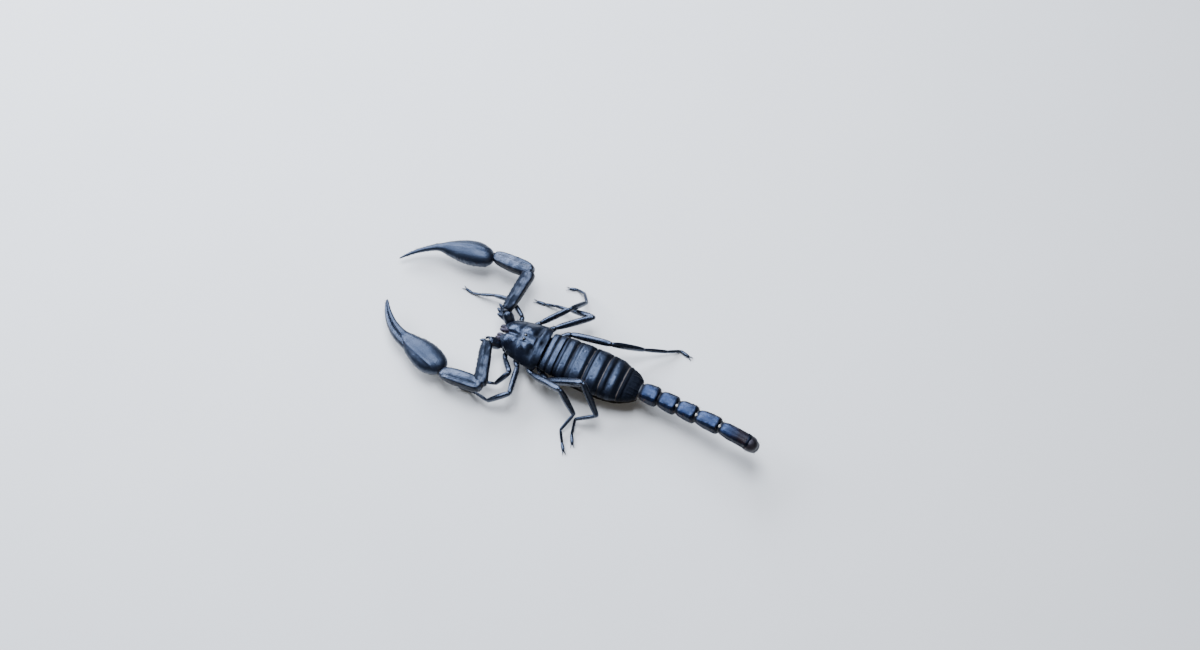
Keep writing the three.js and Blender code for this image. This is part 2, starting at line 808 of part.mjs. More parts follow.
// The telson is folded forward under the last segment, its sting curling up towards it.
function telson() {
  const hinge = tailJoints.at(-1);
  const back = hinge.clone().sub(tailJoints.at(-2)).setZ(0).normalize();
  const place = (rearwards, leftwards, upwards) =>
    hinge
      .clone()
      .addScaledVector(back, rearwards)
      .add(point(leftwards, 0, upwards));
  return {
    line: new THREE.CatmullRomCurve3([
      place(0.5, -0.1, -0.2),
      place(1.1, -0.5, -2.4),
      place(-0.9, -1.0, -5.0),
      place(-4.6, -1.3, -6.3),
      place(-7.8, -1.5, -6.5),
      place(-10.4, -1.6, -5.2),
    ]),
    sign: 1,
    side: back.clone().cross(UP),
    stations: [
      [0, TELSON_WIDTH * 0.5, 2.2],
      [0.08, TELSON_WIDTH * 0.74, 3.4],
      [0.2, TELSON_WIDTH * 0.96, 4.3],
      [0.35, TELSON_WIDTH, 4.5],
      [0.5, TELSON_WIDTH * 0.86, 3.9],
      [0.62, TELSON_WIDTH * 0.5, 2.3],
      [0.74, TELSON_WIDTH * 0.3, 1.35],
      [0.88, TELSON_WIDTH * 0.2, 0.9],
      [1, TELSON_WIDTH * 0.11, 0.5],
    ],
    facets: 8,
    squareness: 2.1,
  };
}

// ---------------------------------------------------------------- the underside's small parts

function genitalOperculum() {
  const upper = (s, t) => point(s * (2.0 - 0.5 * t), 1.0 + 2.6 * t, 2.9);
  const lower = (s, t) => point(s * (1.9 - 0.5 * t), 1.1 + 2.4 * t, 2.35 - 0.15 * (1 - s * s));
  return plate(6, 2, upper, lower);
}

// A comb: a flat spine with a row of teeth along its rear edge.
const COMB = { length: 6.3, spine: 0.8, teeth: 7, toothLength: 1.3, gap: 0.22, thickness: 0.55 };

function pectine(sign) {
  const pitch = COMB.length / COMB.teeth;
  const outline = new THREE.Shape();
  outline.moveTo(0, 0);
  for (let tooth = 0; tooth < COMB.teeth; tooth += 1) {
    const start = tooth * pitch;
    const tip = COMB.toothLength * (1 - 0.25 * (tooth / COMB.teeth));
    outline.lineTo(start, tip * 0.8);
    outline.lineTo(start + (pitch - COMB.gap) / 2, tip);
    outline.lineTo(start + pitch - COMB.gap, tip * 0.8);
    outline.lineTo(start + pitch - COMB.gap, 0);
    if (tooth < COMB.teeth - 1) outline.lineTo(start + pitch, 0);
  }
  outline.lineTo(COMB.length - COMB.gap, -COMB.spine * 0.6);
  outline.lineTo(0, -COMB.spine);
  const geometry = new THREE.ExtrudeGeometry(outline, { depth: COMB.thickness, bevelEnabled: false });
  const comb = solidFrom(geometry.rotateZ(degToRad(28)).translate(1.0, 5.0, 2.0));
  return sign > 0 ? comb : comb.mirror([1, 0, 0]);
}

// ---------------------------------------------------------------- assembly

const scorpion = new THREE.Group();

function add(name, solid, material) {
  const { vertProperties, triVerts, numProp } = solid.getMesh();
  const positions = new Float32Array(triVerts.length * 3);
  triVerts.forEach((vertex, corner) => {
    for (let axis = 0; axis < 3; axis += 1)
      positions[corner * 3 + axis] = vertProperties[vertex * numProp + axis];
  });
  const geometry = new THREE.BufferGeometry();
  geometry.setAttribute("position", new THREE.BufferAttribute(positions, 3));
  geometry.computeVertexNormals();
  const mesh = new THREE.Mesh(geometry, material());
  mesh.name = name;
  scorpion.add(mesh);
}

const pedipalps = { left: pedipalp("left"), right: pedipalp("right") };
const legs = {
  left: HIPS.map((_, index) => leg("left", index)),
  right: HIPS.map((_, index) => leg("right", index)),
};
const allLegs = [...legs.left, ...legs.right];
const legSockets = allLegs.map(({ socket }) => socket);
const legRoom = allLegs.map(({ room }) => room);
const pedipalpSockets = [pedipalps.left.socket, pedipalps.right.socket];

const eyeSockets = [1, -1].flatMap((sign) => [
  sphere(medianEyeCentre(sign), MEDIAN_EYE.radius + EYE_SOCKET_GAP, 8),
  lateralEyes(sign, EYE_SOCKET_GAP),
]);
const cheliceraSockets = [1, -1].map((sign) => chelicera(sign, JOINT_GAP));
const headCutters = [...cheliceraSockets, ...pedipalpSockets];

add("carapace", carve(carapaceSolid(), [...eyeSockets, ...headCutters]), MATERIALS.back);
add("underside", carve(leggedUnderside(), [...legSockets, ...headCutters]), MATERIALS.limb);
for (const [side, sign] of Object.entries(SIDE_SIGN)) {
  add(`median_eye_${side}`, sphere(medianEyeCentre(sign), MEDIAN_EYE.radius, 8), MATERIALS.eye);
  add(`lateral_eyes_${side}`, lateralEyes(sign), MATERIALS.eye);
  add(`chelicera_${side}`, carve(chelicera(sign), pedipalpSockets), MATERIALS.limb);
}

TERGITE_LENGTHS.forEach((_, index) => add(`tergite_${index + 1}`, tergite(index), MATERIALS.back));
const trunkCutters = [leggedUnderside(JOINT_GAP), ...legSockets, ...legRoom];
add("trunk", carve(trunkBody(), trunkCutters), MATERIALS.membrane);
for (let index = 0; index < 5; index += 1)
  add(`sternite_${index + 3}`, sternite(index), MATERIALS.belly);
add("genital_operculum", genitalOperculum(), MATERIALS.belly);
add("pectine_left", pectine(1), MATERIALS.comb);
add("pectine_right", pectine(-1), MATERIALS.comb);

TAIL_SEGMENTS.forEach((_, index) =>
  add(`tail_${index + 1}`, limbPiece(tailSegment(index)), MATERIALS.tail),
);
add("telson", limbPiece(telson()).subtract(limbPiece(tailSegment(4), JOINT_GAP)), MATERIALS.telson);

for (const side of ["left", "right"]) {
  for (const [name, solid] of Object.entries(pedipalps[side].solids))
    add(`pedipalp_${name}_${side}`, solid, MATERIALS.claw);
  legs[side].forEach(({ upper, lower }, index) => {
    add(`leg_${index + 1}_upper_${side}`, upper, MATERIALS.limb);
    add(`leg_${index + 1}_lower_${side}`, lower, MATERIALS.limb);
  });
}

// The part's own origin is the middle of its bounding box at ground level.
const box = new THREE.Box3().setFromObject(scorpion);
const middle = box.getCenter(new THREE.Vector3());
scorpion.position.set(-middle.x, -middle.y, 0);

export default scorpion;
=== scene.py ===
"""A life-size Asian forest scorpion, laid out as a Blender add-on and run as a script.

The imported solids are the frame. Every shell plate, limb length and membrane is drawn over its
solid with finer relief. Lengths in the drawing functions are millimetres in the scorpion's own
frame: x = y = 0 under the middle of the carapace's rear edge, -y ahead, +x its left, z up.
"""
import itertools
import json
import math

import bpy
import numpy as np
from bpy.props import FloatProperty, FloatVectorProperty, IntProperty, PointerProperty
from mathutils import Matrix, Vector

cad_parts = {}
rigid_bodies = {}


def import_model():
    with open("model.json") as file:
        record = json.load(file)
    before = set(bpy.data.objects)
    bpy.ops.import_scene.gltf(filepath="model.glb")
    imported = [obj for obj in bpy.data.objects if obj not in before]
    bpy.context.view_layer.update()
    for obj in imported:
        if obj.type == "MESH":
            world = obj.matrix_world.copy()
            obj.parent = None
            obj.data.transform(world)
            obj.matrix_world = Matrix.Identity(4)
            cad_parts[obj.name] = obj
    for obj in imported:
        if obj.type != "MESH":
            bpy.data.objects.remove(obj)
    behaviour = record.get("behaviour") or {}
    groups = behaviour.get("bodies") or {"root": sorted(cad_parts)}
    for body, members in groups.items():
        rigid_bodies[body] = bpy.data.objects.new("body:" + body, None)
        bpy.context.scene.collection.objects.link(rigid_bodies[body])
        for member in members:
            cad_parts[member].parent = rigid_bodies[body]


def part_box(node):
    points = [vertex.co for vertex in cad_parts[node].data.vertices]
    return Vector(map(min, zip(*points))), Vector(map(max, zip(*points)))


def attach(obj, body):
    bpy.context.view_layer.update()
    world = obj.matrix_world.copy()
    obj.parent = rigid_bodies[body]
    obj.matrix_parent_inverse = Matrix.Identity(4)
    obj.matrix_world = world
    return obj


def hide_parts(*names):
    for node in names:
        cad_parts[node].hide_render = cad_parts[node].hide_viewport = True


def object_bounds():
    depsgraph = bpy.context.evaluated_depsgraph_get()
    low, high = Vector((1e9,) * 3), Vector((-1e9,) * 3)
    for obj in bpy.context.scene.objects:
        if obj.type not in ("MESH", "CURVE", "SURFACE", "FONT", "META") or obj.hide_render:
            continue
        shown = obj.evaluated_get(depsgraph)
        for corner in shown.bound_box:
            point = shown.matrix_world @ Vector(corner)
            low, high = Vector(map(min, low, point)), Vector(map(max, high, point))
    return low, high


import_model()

bl_info = {
    "name": "Forest scorpion",
    "version": (1, 0, 0),
    "blender": (4, 5, 0),
    "location": "View3D > Sidebar > Scorpion",
    "description": "Draws a life-size Asian forest scorpion over its frame of solids",
    "category": "Add Mesh",
}

MM = 0.001
SIDES = {"left": 1, "right": -1}
UP = np.array((0.0, 0.0, 1.0))
CAD_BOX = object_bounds()

# The frame's origin is the middle of its box, so the left eye's solid says where the drawing's is.
EYE_APART, EYE_Y, EYE_RADIUS = 1.5, -8.3, 0.62
_eye = sum(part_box("median_eye_left"), Vector()) / 2
SHIFT = np.array((_eye.x / MM - EYE_APART / 2, _eye.y / MM - EYE_Y, 0.0))

# ------------------------------------------------------------------ sizes of the animal

CARAPACE_LENGTH, CARAPACE_FLOOR = 17.0, 6.4
TERGITE_LENGTHS = (2.8, 2.7, 4.8, 6.3, 6.5, 7.1, 6.4)
TRUNK_LENGTH = sum(TERGITE_LENGTHS)
# For each back plate: its front groove's place (a part of its length), width and depth, and the part
# of its length where its rear turns down.
BANDS = (
    (0.1, 0.3, 0.1, 0.72), (0.1, 0.3, 0.1, 0.82), (0.27, 0.36, 0.22, 0.68), (0.2, 0.34, 0.12, 0.69),
    (0.16, 0.36, 0.22, 0.62), (0.27, 0.8, 0.42, 0.58), (0.2, 0.4, 0.2, 0.7),
)
STERNITE_EDGES = (9.2, 14.2, 19.6, 25.2, 30.8, TRUNK_LENGTH)
TAIL_ROOT = (0.0, TRUNK_LENGTH, 8.0)
TAIL = (  # length, width, height, heading off straight back, pitch
    (7.0, 6.9, 6.1, 0, 2),
    (7.3, 6.5, 5.9, 4, 6),
    (7.7, 6.2, 5.7, 6, 11),
    (9.4, 5.9, 5.4, 7, 13),
    (12.2, 5.4, 5.0, 9, 10),
)
TELSON_WIDTH = 4.7
PEDIPALP_ROOT = (4.6, -16.4, 6.2)
PEDIPALP_LENGTHS = (5.0, 17.2, 15.7, 18.5, 17.8)  # trochanter, femur, patella, hand, finger
PEDIPALP_POSES = {  # heading and pitch of each length
    "left": ((20, 37), (108, 1), (2, -10), (-18, -1), (-42, -4)),
    "right": ((40, 40), (95, 4), (5, -11), (-11, -2), (-35, -13)),
}
# The hand's breadth, the spur, then for the fixed and the movable finger: inwards, bow, lift, width, height.
CLAWS = {
    "left": (1.0, 2.9, (1.35, 3.7, 0.3, 2.1, 2.6), (-1.15, 3.1, -0.1, 2.85, 3.05)),
    "right": (0.88, 4.2, (1.0, 2.5, 1.0, 2.0, 1.9), (0.15, 2.5, -1.05, 2.0, 1.9)),
}
FINGER_TAPER = ((0.45, 0.78), (0.8, 0.48), (0.97, 0.26))  # a part of the finger's length, and of its girth
HIPS = ((6.2, -13.5, 4.5), (7.0, -9.0, 4.5), (7.5, -4.0, 4.2), (7.6, 1.8, 4.4))
LEG_LENGTHS = (
    (2.9, 7.5, 7.0, 5.9, 3.8, 2.9),
    (3.5, 12.0, 9.3, 6.0, 4.0, 3.0),
    (4.0, 14.7, 11.0, 7.1, 4.6, 3.3),
    (4.1, 16.3, 12.9, 8.6, 5.5, 3.8),
)
LEG_THICKNESS = (2.2, 2.35, 2.5, 2.7)
LEG_BREADTH = {"left": (1.25, 1.25, 1.36, 1.36), "right": (1.12, 1.12, 1.12, 1.1)}  # seen from above
LEG_POSES = {  # headings of the six lengths, then the pitches of the first three
    "left": (
        ((120, 131, 52, 3, -3, 10), (19, 29, -35)),
        ((131, 103, 31, -17, -7, 6), (24, 16, -31)),
        ((143, 165, 153, 71, 122, 125), (20, 27, -46)),
        ((142, -174, 142, 22, 100, 118), (26, 33, -37)),
    ),
    "right": (
        ((83, 33, -2, -10, -3, 12), (12, 3, -11)),
        ((133, 138, 115, 55, 19, -18), (22, 24, -34)),
        ((139, 147, 7, 4, -3, -7), (21, 20, -30)),
        ((144, 177, 153, 152, 145, -166), (22, 17, -27)),
    ),
}
TARSUS_HEIGHT = 0.45
LATERAL_EYE_ENDS = ((5.75, -14.1), (6.5, -12.7))
HAND_BREADTH = 10.6
ARM_JOINT_RING = ((0, 0.8, 0.75), (0.3, 1, 0.95), (0.7, 1, 0.95), (1, 0.8, 0.75))
FOOT_CLAW_SHAPE = ((0, 0.42, 0.46), (0.4, 0.34, 0.38), (0.8, 0.22, 0.24), (1, 0.07, 0.07))
TAIL_JOINT_RING = ((0, 0.6, 0.6), (0.25, 0.76, 0.76), (0.75, 0.76, 0.76), (1, 0.6, 0.6))
# A tail ring's stations: back from its front in mm, along it in parts of its length, ahead of its rear in mm.
RING_FRONT = ((0.12, 0.66, 0.66), (0.35, 0.78, 0.8))
RING_BODY = ((0.12, 0.88, 0.9), (0.28, 0.97, 0.98), (0.55, 1, 1.02), (0.8, 1.04, 1.06), (0.91, 0.98, 1))
RING_REAR = ((0.32, 0.84, 0.86), (0.12, 0.66, 0.68))
LAST_RING_BODY = (
    (0.12, 0.88, 0.9), (0.28, 0.97, 0.98), (0.55, 0.99, 1), (0.78, 0.96, 0.98), (0.9, 1.02, 0.94),
    (0.95, 0.97, 0.88),
)
LAST_RING_REAR = ((0.2, 0.86, 0.76), (0.04, 0.7, 0.6))
STING_SHAPE = (
    (0, 0.62, 2.3), (0.03, 0.86, 3.3), (0.08, 1.02, 4.1), (0.2, 1.02, 4.4), (0.33, 1.02, 4.6),
    (0.46, 0.93, 4.15), (0.56, 0.7, 3.1), (0.64, 0.47, 2.1), (0.74, 0.31, 1.4), (0.86, 0.21, 0.95),
    (0.95, 0.12, 0.55),
)
PALM_SHAPE = (
    (0, 0.3, 2.3), (0.02, 0.46, 3.4), (0.06, 0.63, 4.6), (0.12, 0.79, 5.6), (0.2, 0.9, 6.2), (0.36, 1, 6.75),
    (0.5, 0.98, 6.5), (0.62, 0.91, 6.1), (0.74, 0.8, 5.5), (0.86, 0.65, 4.7), (0.95, 0.52, 4.1),
)
FINGER_TIP = (0.24, 0.28)  # width and height
# Where the back plates start and end beyond their own lengths, and the walls of the thinner shells.
FIRST_GAP, OVERLAP, NARROW_REAR_GAP, REAR_GAP = 0.3, 0.35, 0.3, 0.42
CARAPACE_WALL, SEAM_WALL = 0.45, 0.25
CREASE = 50  # degrees: a sharper edge is drawn sharp

SPLINE_STEPS = 24
CELL_AXES, CELL_SPREAD = np.array((127.1, 311.7, 74.7)), 43758.5  # they strew one point to a cell

# The view, in degrees, metres and millimetres of the scorpion's own frame.
CAMERA_AZIMUTH, CAMERA_ELEVATION, CAMERA_DISTANCE = 115, 66, 0.6
CAMERA_AIM = (-19.964, 11.511, 0.0)


def linear(code):
    """An sRGB hex colour as linear red, green, blue and alpha."""
    parts = [int(code[i : i + 2], 16) / 255 for i in (0, 2, 4)]
    return tuple(p / 12.92 if p <= 0.04045 else ((p + 0.055) / 1.055) ** 2.4 for p in parts) + (1.0,)


def shaded(tone, part):
    """A colour at that part of its strength, with full alpha."""
    return tuple(part * v for v in tone[:3]) + (1.0,)


# ------------------------------------------------------------------ what a user may change


def colour(name, description, code):
    return FloatVectorProperty(
        name=name, description=description, subtype="COLOR", size=4, min=0, max=1, default=linear(code)
    )


def length(name, description, millimetres):
    return FloatProperty(
        name=name, description=description, unit="LENGTH", subtype="DISTANCE", precision=5,
        min=0.0, default=millimetres * MM,
    )


class ScorpionSizes(bpy.types.PropertyGroup):
    """Sizes of the relief that the solids don't hold."""

    shell: length("Shell", "Thickness of the back and belly plates", 0.55)
    grain: length("Grain", "Spacing of the grains on the plates and keels", 0.42)
    grain_height: length("Grain height", "How far a grain stands proud", 0.07)
    keel: length("Keel", "Height of the keels on the arms and the tail", 0.3)
    bristle: length("Bristle", "Length of the bristles on the legs", 1.1)
    bristle_root: length("Bristle root", "Thickness of a bristle at its root", 0.07)
    seed: IntProperty(name="Seed", description="Start of every random draw", default=7)


class ScorpionColours(bpy.types.PropertyGroup):
    """Base colours of the finishes."""

    back: colour("Back", "Back plates and carapace", "090d1b")
    # back_dark is also the colour that the painted shade in grooves, rear edges and sides goes towards.
    back_dark: colour("Back, dark", "Grooves and rear edges of the back", "06060c")
    tail: colour("Tail", "The tail's rings", "0d1c3c")
    claw: colour("Claws", "The pedipalps", "090d19")
    limb: colour("Legs", "The walking legs and the leg bases", "080c14")
    belly: colour("Belly", "Belly plates and leg bases", "2a211d")
    membrane: colour("Membrane", "Soft skin of the flanks", "3b332d")
    seam: colour("Seam", "Dull tan skin in the seams between plates", "463c33")
    joint: colour("Joints", "Skin in the limb joints", "15171c")
    # Pale joint skin, partly a painted highlight of the white glints at those joints.
    pad: colour("Joint pads", "Stretched skin in the bent joints", "a8a296")
    jaw: colour("Mouth claws", "The mouth claws", "1a1019")
    comb: colour("Combs", "The comb organs", "8a6f4d")
    sting: colour("Sting", "The telson", "1d1418")
    eye: colour("Eyes", "The eye lenses", "030304")
    bristle: colour("Bristles", "The bristles", "4a2c1c")
    floor: colour("Floor", "The floor", "e6e2da")


def sizes():
    return bpy.context.scene.scorpion_sizes


def colours():
    return bpy.context.scene.scorpion_colours


# ------------------------------------------------------------------ lines and surfaces


def bump(distance, width):
    return np.exp(-((distance / width) ** 2))


def smooth(value, low, high):
    part = np.clip((value - low) / (high - low), 0, 1)
    return part * part * (3 - 2 * part)


def between(value, start, full, fading, end):
    """Rises smoothly to 1 from start to full, and falls back to 0 from fading to end."""
    return smooth(value, start, full) * (1 - smooth(value, fading, end))


def boxy(wave, power):
    """A sine or cosine with its sign kept, drawn out towards a square's by a power below 1."""
    return np.sign(wave) * np.abs(wave) ** power


def profile(*stations):
    """A smooth value between stations (place, value), level beyond both ends."""
    places, values = np.array(stations, float).T
    last = len(places) - 1

    def at(place):
        place = np.clip(place, places[0], places[-1])
        i = np.clip(np.searchsorted(places, place, side="right") - 1, 0, last - 1)
        t = (place - places[i]) / (places[i + 1] - places[i])
        a, b = values[i], values[i + 1]
        rise = (b - values[np.maximum(i - 1, 0)]) / 2
        fall = (values[np.minimum(i + 2, last)] - a) / 2
        return (2 * a - 2 * b + rise + fall) * t**3 + (3 * b - 3 * a - 2 * rise - fall) * t**2 + rise * t + a

    return at


def stretched(shape, long, width, height):
    """Stations from a shape that is given in parts of a length, a width and a height."""
    return [(t * long, w * width, h * height) for t, w, h in shape]


def resample(stations, count):
    """Many stations, evenly spaced, through a few (place, width, height)."""
    places, widths, heights = np.array(stations, float).T
    at = np.linspace(places[0], places[-1], count)
    columns = [profile(*zip(places, values))(at) for values in (widths, heights)]
    return [tuple(float(v) for v in row) for row in zip(at, *columns)]


def unit(vector):
    return vector / np.linalg.norm(vector, axis=-1, keepdims=True)


def direction(sign, heading, pitch):
    """Heading 0 is ahead, 90 straight out to the limb's own side and 180 backwards."""
    turn, rise = math.radians(heading), math.radians(pitch)
    return np.array(
        (sign * math.sin(turn) * math.cos(rise), -math.cos(turn) * math.cos(rise), math.sin(rise))
    )


def spline(points, steps=SPLINE_STEPS):
    """A smooth line of many points through a few."""
    points = np.array(points, float)
    places = np.arange(len(points))
    dense = np.linspace(0, len(points) - 1, (len(points) - 1) * steps + 1)
    return np.stack([profile(*zip(places, column))(dense) for column in points.T], axis=1)


def bend(points, line, sign, side=None):
    """Lays a straight piece, z ahead, x away from the body and y up, along a line in space."""
    line = np.array(line, float)
    steps = np.linalg.norm(np.diff(line, axis=0), axis=1)
    reach = np.concatenate(([0], np.cumsum(steps)))
    ahead = unit(np.gradient(line, reach, axis=0))
    across = unit(np.cross(UP, ahead)) if side is None else np.tile(side, (len(line), 1))
    up = unit(np.cross(ahead, across))
    z = np.clip(points[:, 2], 0, reach[-1])

    def at(values):
        return np.stack([np.interp(z, reach, column) for column in values.T], axis=1)

    over = (points[:, 2] - z)[:, None] * unit(at(ahead))
    sideways = sign * points[:, :1] * unit(at(across))
    return at(line) + over + sideways + points[:, 1:2] * unit(at(up))


def span(start, end):
    return float(np.linalg.norm(end - start))


def line_length(line):
    return float(np.linalg.norm(np.diff(np.array(line, float), axis=0), axis=1).sum())


def cells(points, spacing, seed=0):
    """Distances to the nearest and second nearest of points strewn one to a cell of that spacing."""
    scaled = points / spacing
    home = np.floor(scaled)
    near, second = np.full(len(points), 9.0), np.full(len(points), 9.0)
    for step in itertools.product((-1, 0, 1), repeat=3):
        cell = home + step
        key = cell @ CELL_AXES + seed
        seeds = np.stack([np.modf(np.abs(np.sin(key * k) * CELL_SPREAD))[0] for k in (1.0, 1.7, 2.3)], axis=1)
        distance = np.linalg.norm(cell + seeds - scaled, axis=1)
        second = np.minimum(second, np.maximum(near, distance))
        near = np.minimum(near, distance)
    return near, second


def swells(points, spacing, seed=0):
    """Smooth swells and hollows from -1 to 1, about the spacing apart."""
    scaled = points / spacing + seed * 3.7
    home = np.floor(scaled)
    part = scaled - home
    part = part * part * (3 - 2 * part)
    total = np.zeros(len(points))
    for step in itertools.product((0, 1), repeat=3):
        key = (home + step) @ CELL_AXES
        value = np.modf(np.abs(np.sin(key) * CELL_SPREAD))[0]
        total += value * np.where(step, part, 1 - part).prod(axis=1)
    return 2 * total - 1


def grains(points, spacing, seed=0):
    """Rounded grains from 0 to 1, about one to a cell."""
    near, _ = cells(points, spacing, seed)
    return np.clip(1 - (near / 0.55) ** 2, 0, 1)


def net(points, spacing, seed=0):
    """Raised lines from 0 to 1 between round hollows, like netted skin."""
    near, second = cells(points, spacing, seed)
    return np.clip(1 - (second - near) / 0.3, 0, 1)


def section(count, squareness=2.0):
    """A ring of unit width and height: squareness 2 is an ellipse, higher is boxier."""
    angles = 2 * np.pi * (np.arange(count) + 0.5) / count
    power = 2 / squareness
    return np.stack((boxy(np.cos(angles), power) / 2, boxy(np.sin(angles), power) / 2), axis=1)


# ------------------------------------------------------------------ drawing with Blender's tools


def deselect():
    if bpy.context.object and bpy.context.object.mode != "OBJECT":
        bpy.ops.object.mode_set(mode="OBJECT")
    bpy.ops.object.select_all(action="DESELECT")


def vectors_of(piece, kind):
    flat = np.empty(len(piece.data.vertices) * 3)
    piece.data.vertices.foreach_get(kind, flat)
    return flat.reshape(-1, 3)


def points_of(piece):
    return vectors_of(piece, "co")


def normals_of(piece):
    return vectors_of(piece, "normal")


def set_points(piece, points):
    piece.data.vertices.foreach_set("co", np.ascontiguousarray(points, dtype=float).ravel())
    piece.data.update()


def take(name):
    """Names the piece that a primitive has just made."""
    piece = bpy.context.object
    piece.name = piece.data.name = name
    return piece


def modify(piece, kind, **settings):
    """Adds a modifier and applies it."""
    bpy.context.view_layer.objects.active = piece
    modifier = piece.modifiers.new(kind.title(), kind)
    for key, value in settings.items():
        setattr(modifier, key, value)
    bpy.ops.object.modifier_apply(modifier=modifier.name)


def round_off(piece, level):
    modify(piece, "SUBSURF", levels=level, render_levels=level)


def face_outwards(piece):
    bpy.context.view_layer.objects.active = piece
    bpy.ops.object.mode_set(mode="EDIT")
    bpy.ops.mesh.select_all(action="SELECT")
    bpy.ops.mesh.normals_make_consistent(inside=False)
    bpy.ops.object.mode_set(mode="OBJECT")


def draw_length(name, stations, ring, level=2):
    """A circle is shaped to the ring, then extruded and scaled from station to station along z.

    A station is z, width, height, and how far its middle lies out and up.
    """
    deselect()
    bpy.ops.mesh.primitive_circle_add(vertices=len(ring), radius=1, fill_type="NGON")
    piece = take(name)
    stations = [tuple(station) + (0.0,) * (5 - len(station)) for station in stations]
    z, width, height, out, up = stations[0]
    low = np.stack((ring[:, 0] * width + out, ring[:, 1] * height + up, np.full(len(ring), z)), axis=1)
    set_points(piece, low)
    bpy.ops.object.mode_set(mode="EDIT")
    bpy.ops.mesh.select_all(action="SELECT")
    for last, this in zip(stations, stations[1:]):
        step = (this[3] - last[3], this[4] - last[4], this[0] - last[0])
        bpy.ops.mesh.extrude_region_move(TRANSFORM_OT_translate={"value": step})
        bpy.ops.transform.resize(
            value=(this[1] / last[1], this[2] / last[2], 1), center_override=(this[3], this[4], this[0])
        )
    bpy.ops.object.mode_set(mode="OBJECT")
    face_outwards(piece)
    round_off(piece, level)
    return piece


def draw_sheet(name, across, along, surface, closed=False):
    """A grid is laid on surface(s, t), s from -1 to 1 across and t from 0 to 1 along."""
    deselect()
    bpy.ops.mesh.primitive_grid_add(x_subdivisions=across, y_subdivisions=along, size=2)
    piece = take(name)
    flat = points_of(piece)
    set_points(piece, surface(flat[:, 0], (flat[:, 1] + 1) / 2))
    if closed:
        bpy.ops.object.mode_set(mode="EDIT")
        bpy.ops.mesh.select_all(action="SELECT")
        bpy.ops.mesh.remove_doubles(threshold=1e-3)
        bpy.ops.mesh.fill_holes(sides=0)
        bpy.ops.object.mode_set(mode="OBJECT")
        face_outwards(piece)
    return piece


def draw_ball(name, centre, radii, segments=32):
    """A sphere drawn out to three radii, used for lenses and drops."""
    deselect()
    bpy.ops.mesh.primitive_uv_sphere_add(segments=segments, ring_count=segments // 2, radius=1)
    piece = take(name)
    set_points(piece, points_of(piece) * np.array(radii) + np.array(centre))
    return piece


def draw_lens(name, centre, radius, segments=32):
    """A lens: a dome flattened on top, over a groove and a rim that sinks into the shell."""
    lens = draw_ball(name, (0, 0, 0), (1, 1, 1), segments)
    p = points_of(lens)
    z = p[:, 2]
    spread = 1 - 0.1 * bump(z + 0.12, 0.1) + 0.12 * bump(z + 0.42, 0.14)
    p[:, :2] *= spread[:, None]
    p[:, 2] = np.where(z > 0, 0.92 * z, z)
    set_points(lens, p * radius + np.array(centre))
    return lens


def swell(piece, relief):
    """Moves each point along its normal by relief(points, normals), in millimetres."""
    points, normals = points_of(piece), normals_of(piece)
    set_points(piece, points + normals * relief(points, normals)[:, None])


def darken(piece, dull):
    """Stores at each point how far the shell is painted darker as shade and made duller and rougher, from 0
    to 1, or below 0 where it is polished.
    """
    values = np.clip(dull(points_of(piece)), -0.6, 1).astype(np.float32)
    piece.data.attributes.new("dull", "FLOAT", "POINT").data.foreach_set("value", values)


def unite(pieces, name, grain=None):
    """Joins pieces, and with a grain given fuses them into one skin of faces of that size."""
    deselect()
    for piece in pieces:
        piece.select_set(True)
    bpy.context.view_layer.objects.active = pieces[0]
    if len(pieces) > 1:
        bpy.ops.object.join()
    piece = take(name)
    if grain:
        modify(piece, "REMESH", mode="VOXEL", voxel_size=grain, use_smooth_shade=True)
        modify(piece, "SMOOTH", factor=0.5, iterations=3)
    return piece


def settle(piece, skin, nodes=(), lie=None, angle=None):
    """Puts a piece in its place in metres, with the finish of that name, its frame solids and its body."""
    points = (points_of(piece) + SHIFT) * MM
    low, high = (np.array(corner) for corner in CAD_BOX)
    set_points(piece, np.clip(points, low, high))
    deselect()
    piece.select_set(True)
    bpy.context.view_layer.objects.active = piece
    if angle is None:
        bpy.ops.object.shade_smooth()
    else:
        bpy.ops.object.shade_smooth_by_angle(angle=math.radians(angle))
    piece.data.materials.clear()
    piece.data.materials.append(finish(skin))
    if lie is not None:
        piece["lie"] = [float(v) for v in lie]
    if nodes:
        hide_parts(*nodes)
    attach(piece, "root")
    return piece


def lay(piece, line, sign, side=None):
    """Bends a straight piece along its line; a right-hand piece is mirrored, so its faces are turned."""
    set_points(piece, bend(points_of(piece), line, sign, side))
    if sign < 0:
        piece.data.flip_normals()
    return piece


# ------------------------------------------------------------------ finishes


def add_node(tree, kind, settings=None, links=None):
    """Adds a node, gives it its settings and input values, and links other nodes into it."""
    node = tree.nodes.new(kind)
    for key, value in (settings or {}).items():
        if isinstance(key, int) or key in node.inputs:
            node.inputs[key].default_value = value
        else:
            setattr(node, key, value)
    for socket, source in (links or {}).items():
        tree.links.new(source, node.inputs[socket])
    return node


def per_metre(millimetres):
    """A pattern's scale from its real size."""
    return 1.0 / (millimetres * MM)


def blank_material(name):
    """An empty material: itself, its nodes and the Object coordinates that its patterns follow."""
    material = bpy.data.materials.new(name)
    material.use_nodes = True
    tree = material.node_tree
    tree.nodes.clear()
    return material, tree, add_node(tree, "ShaderNodeTexCoord").outputs["Object"]


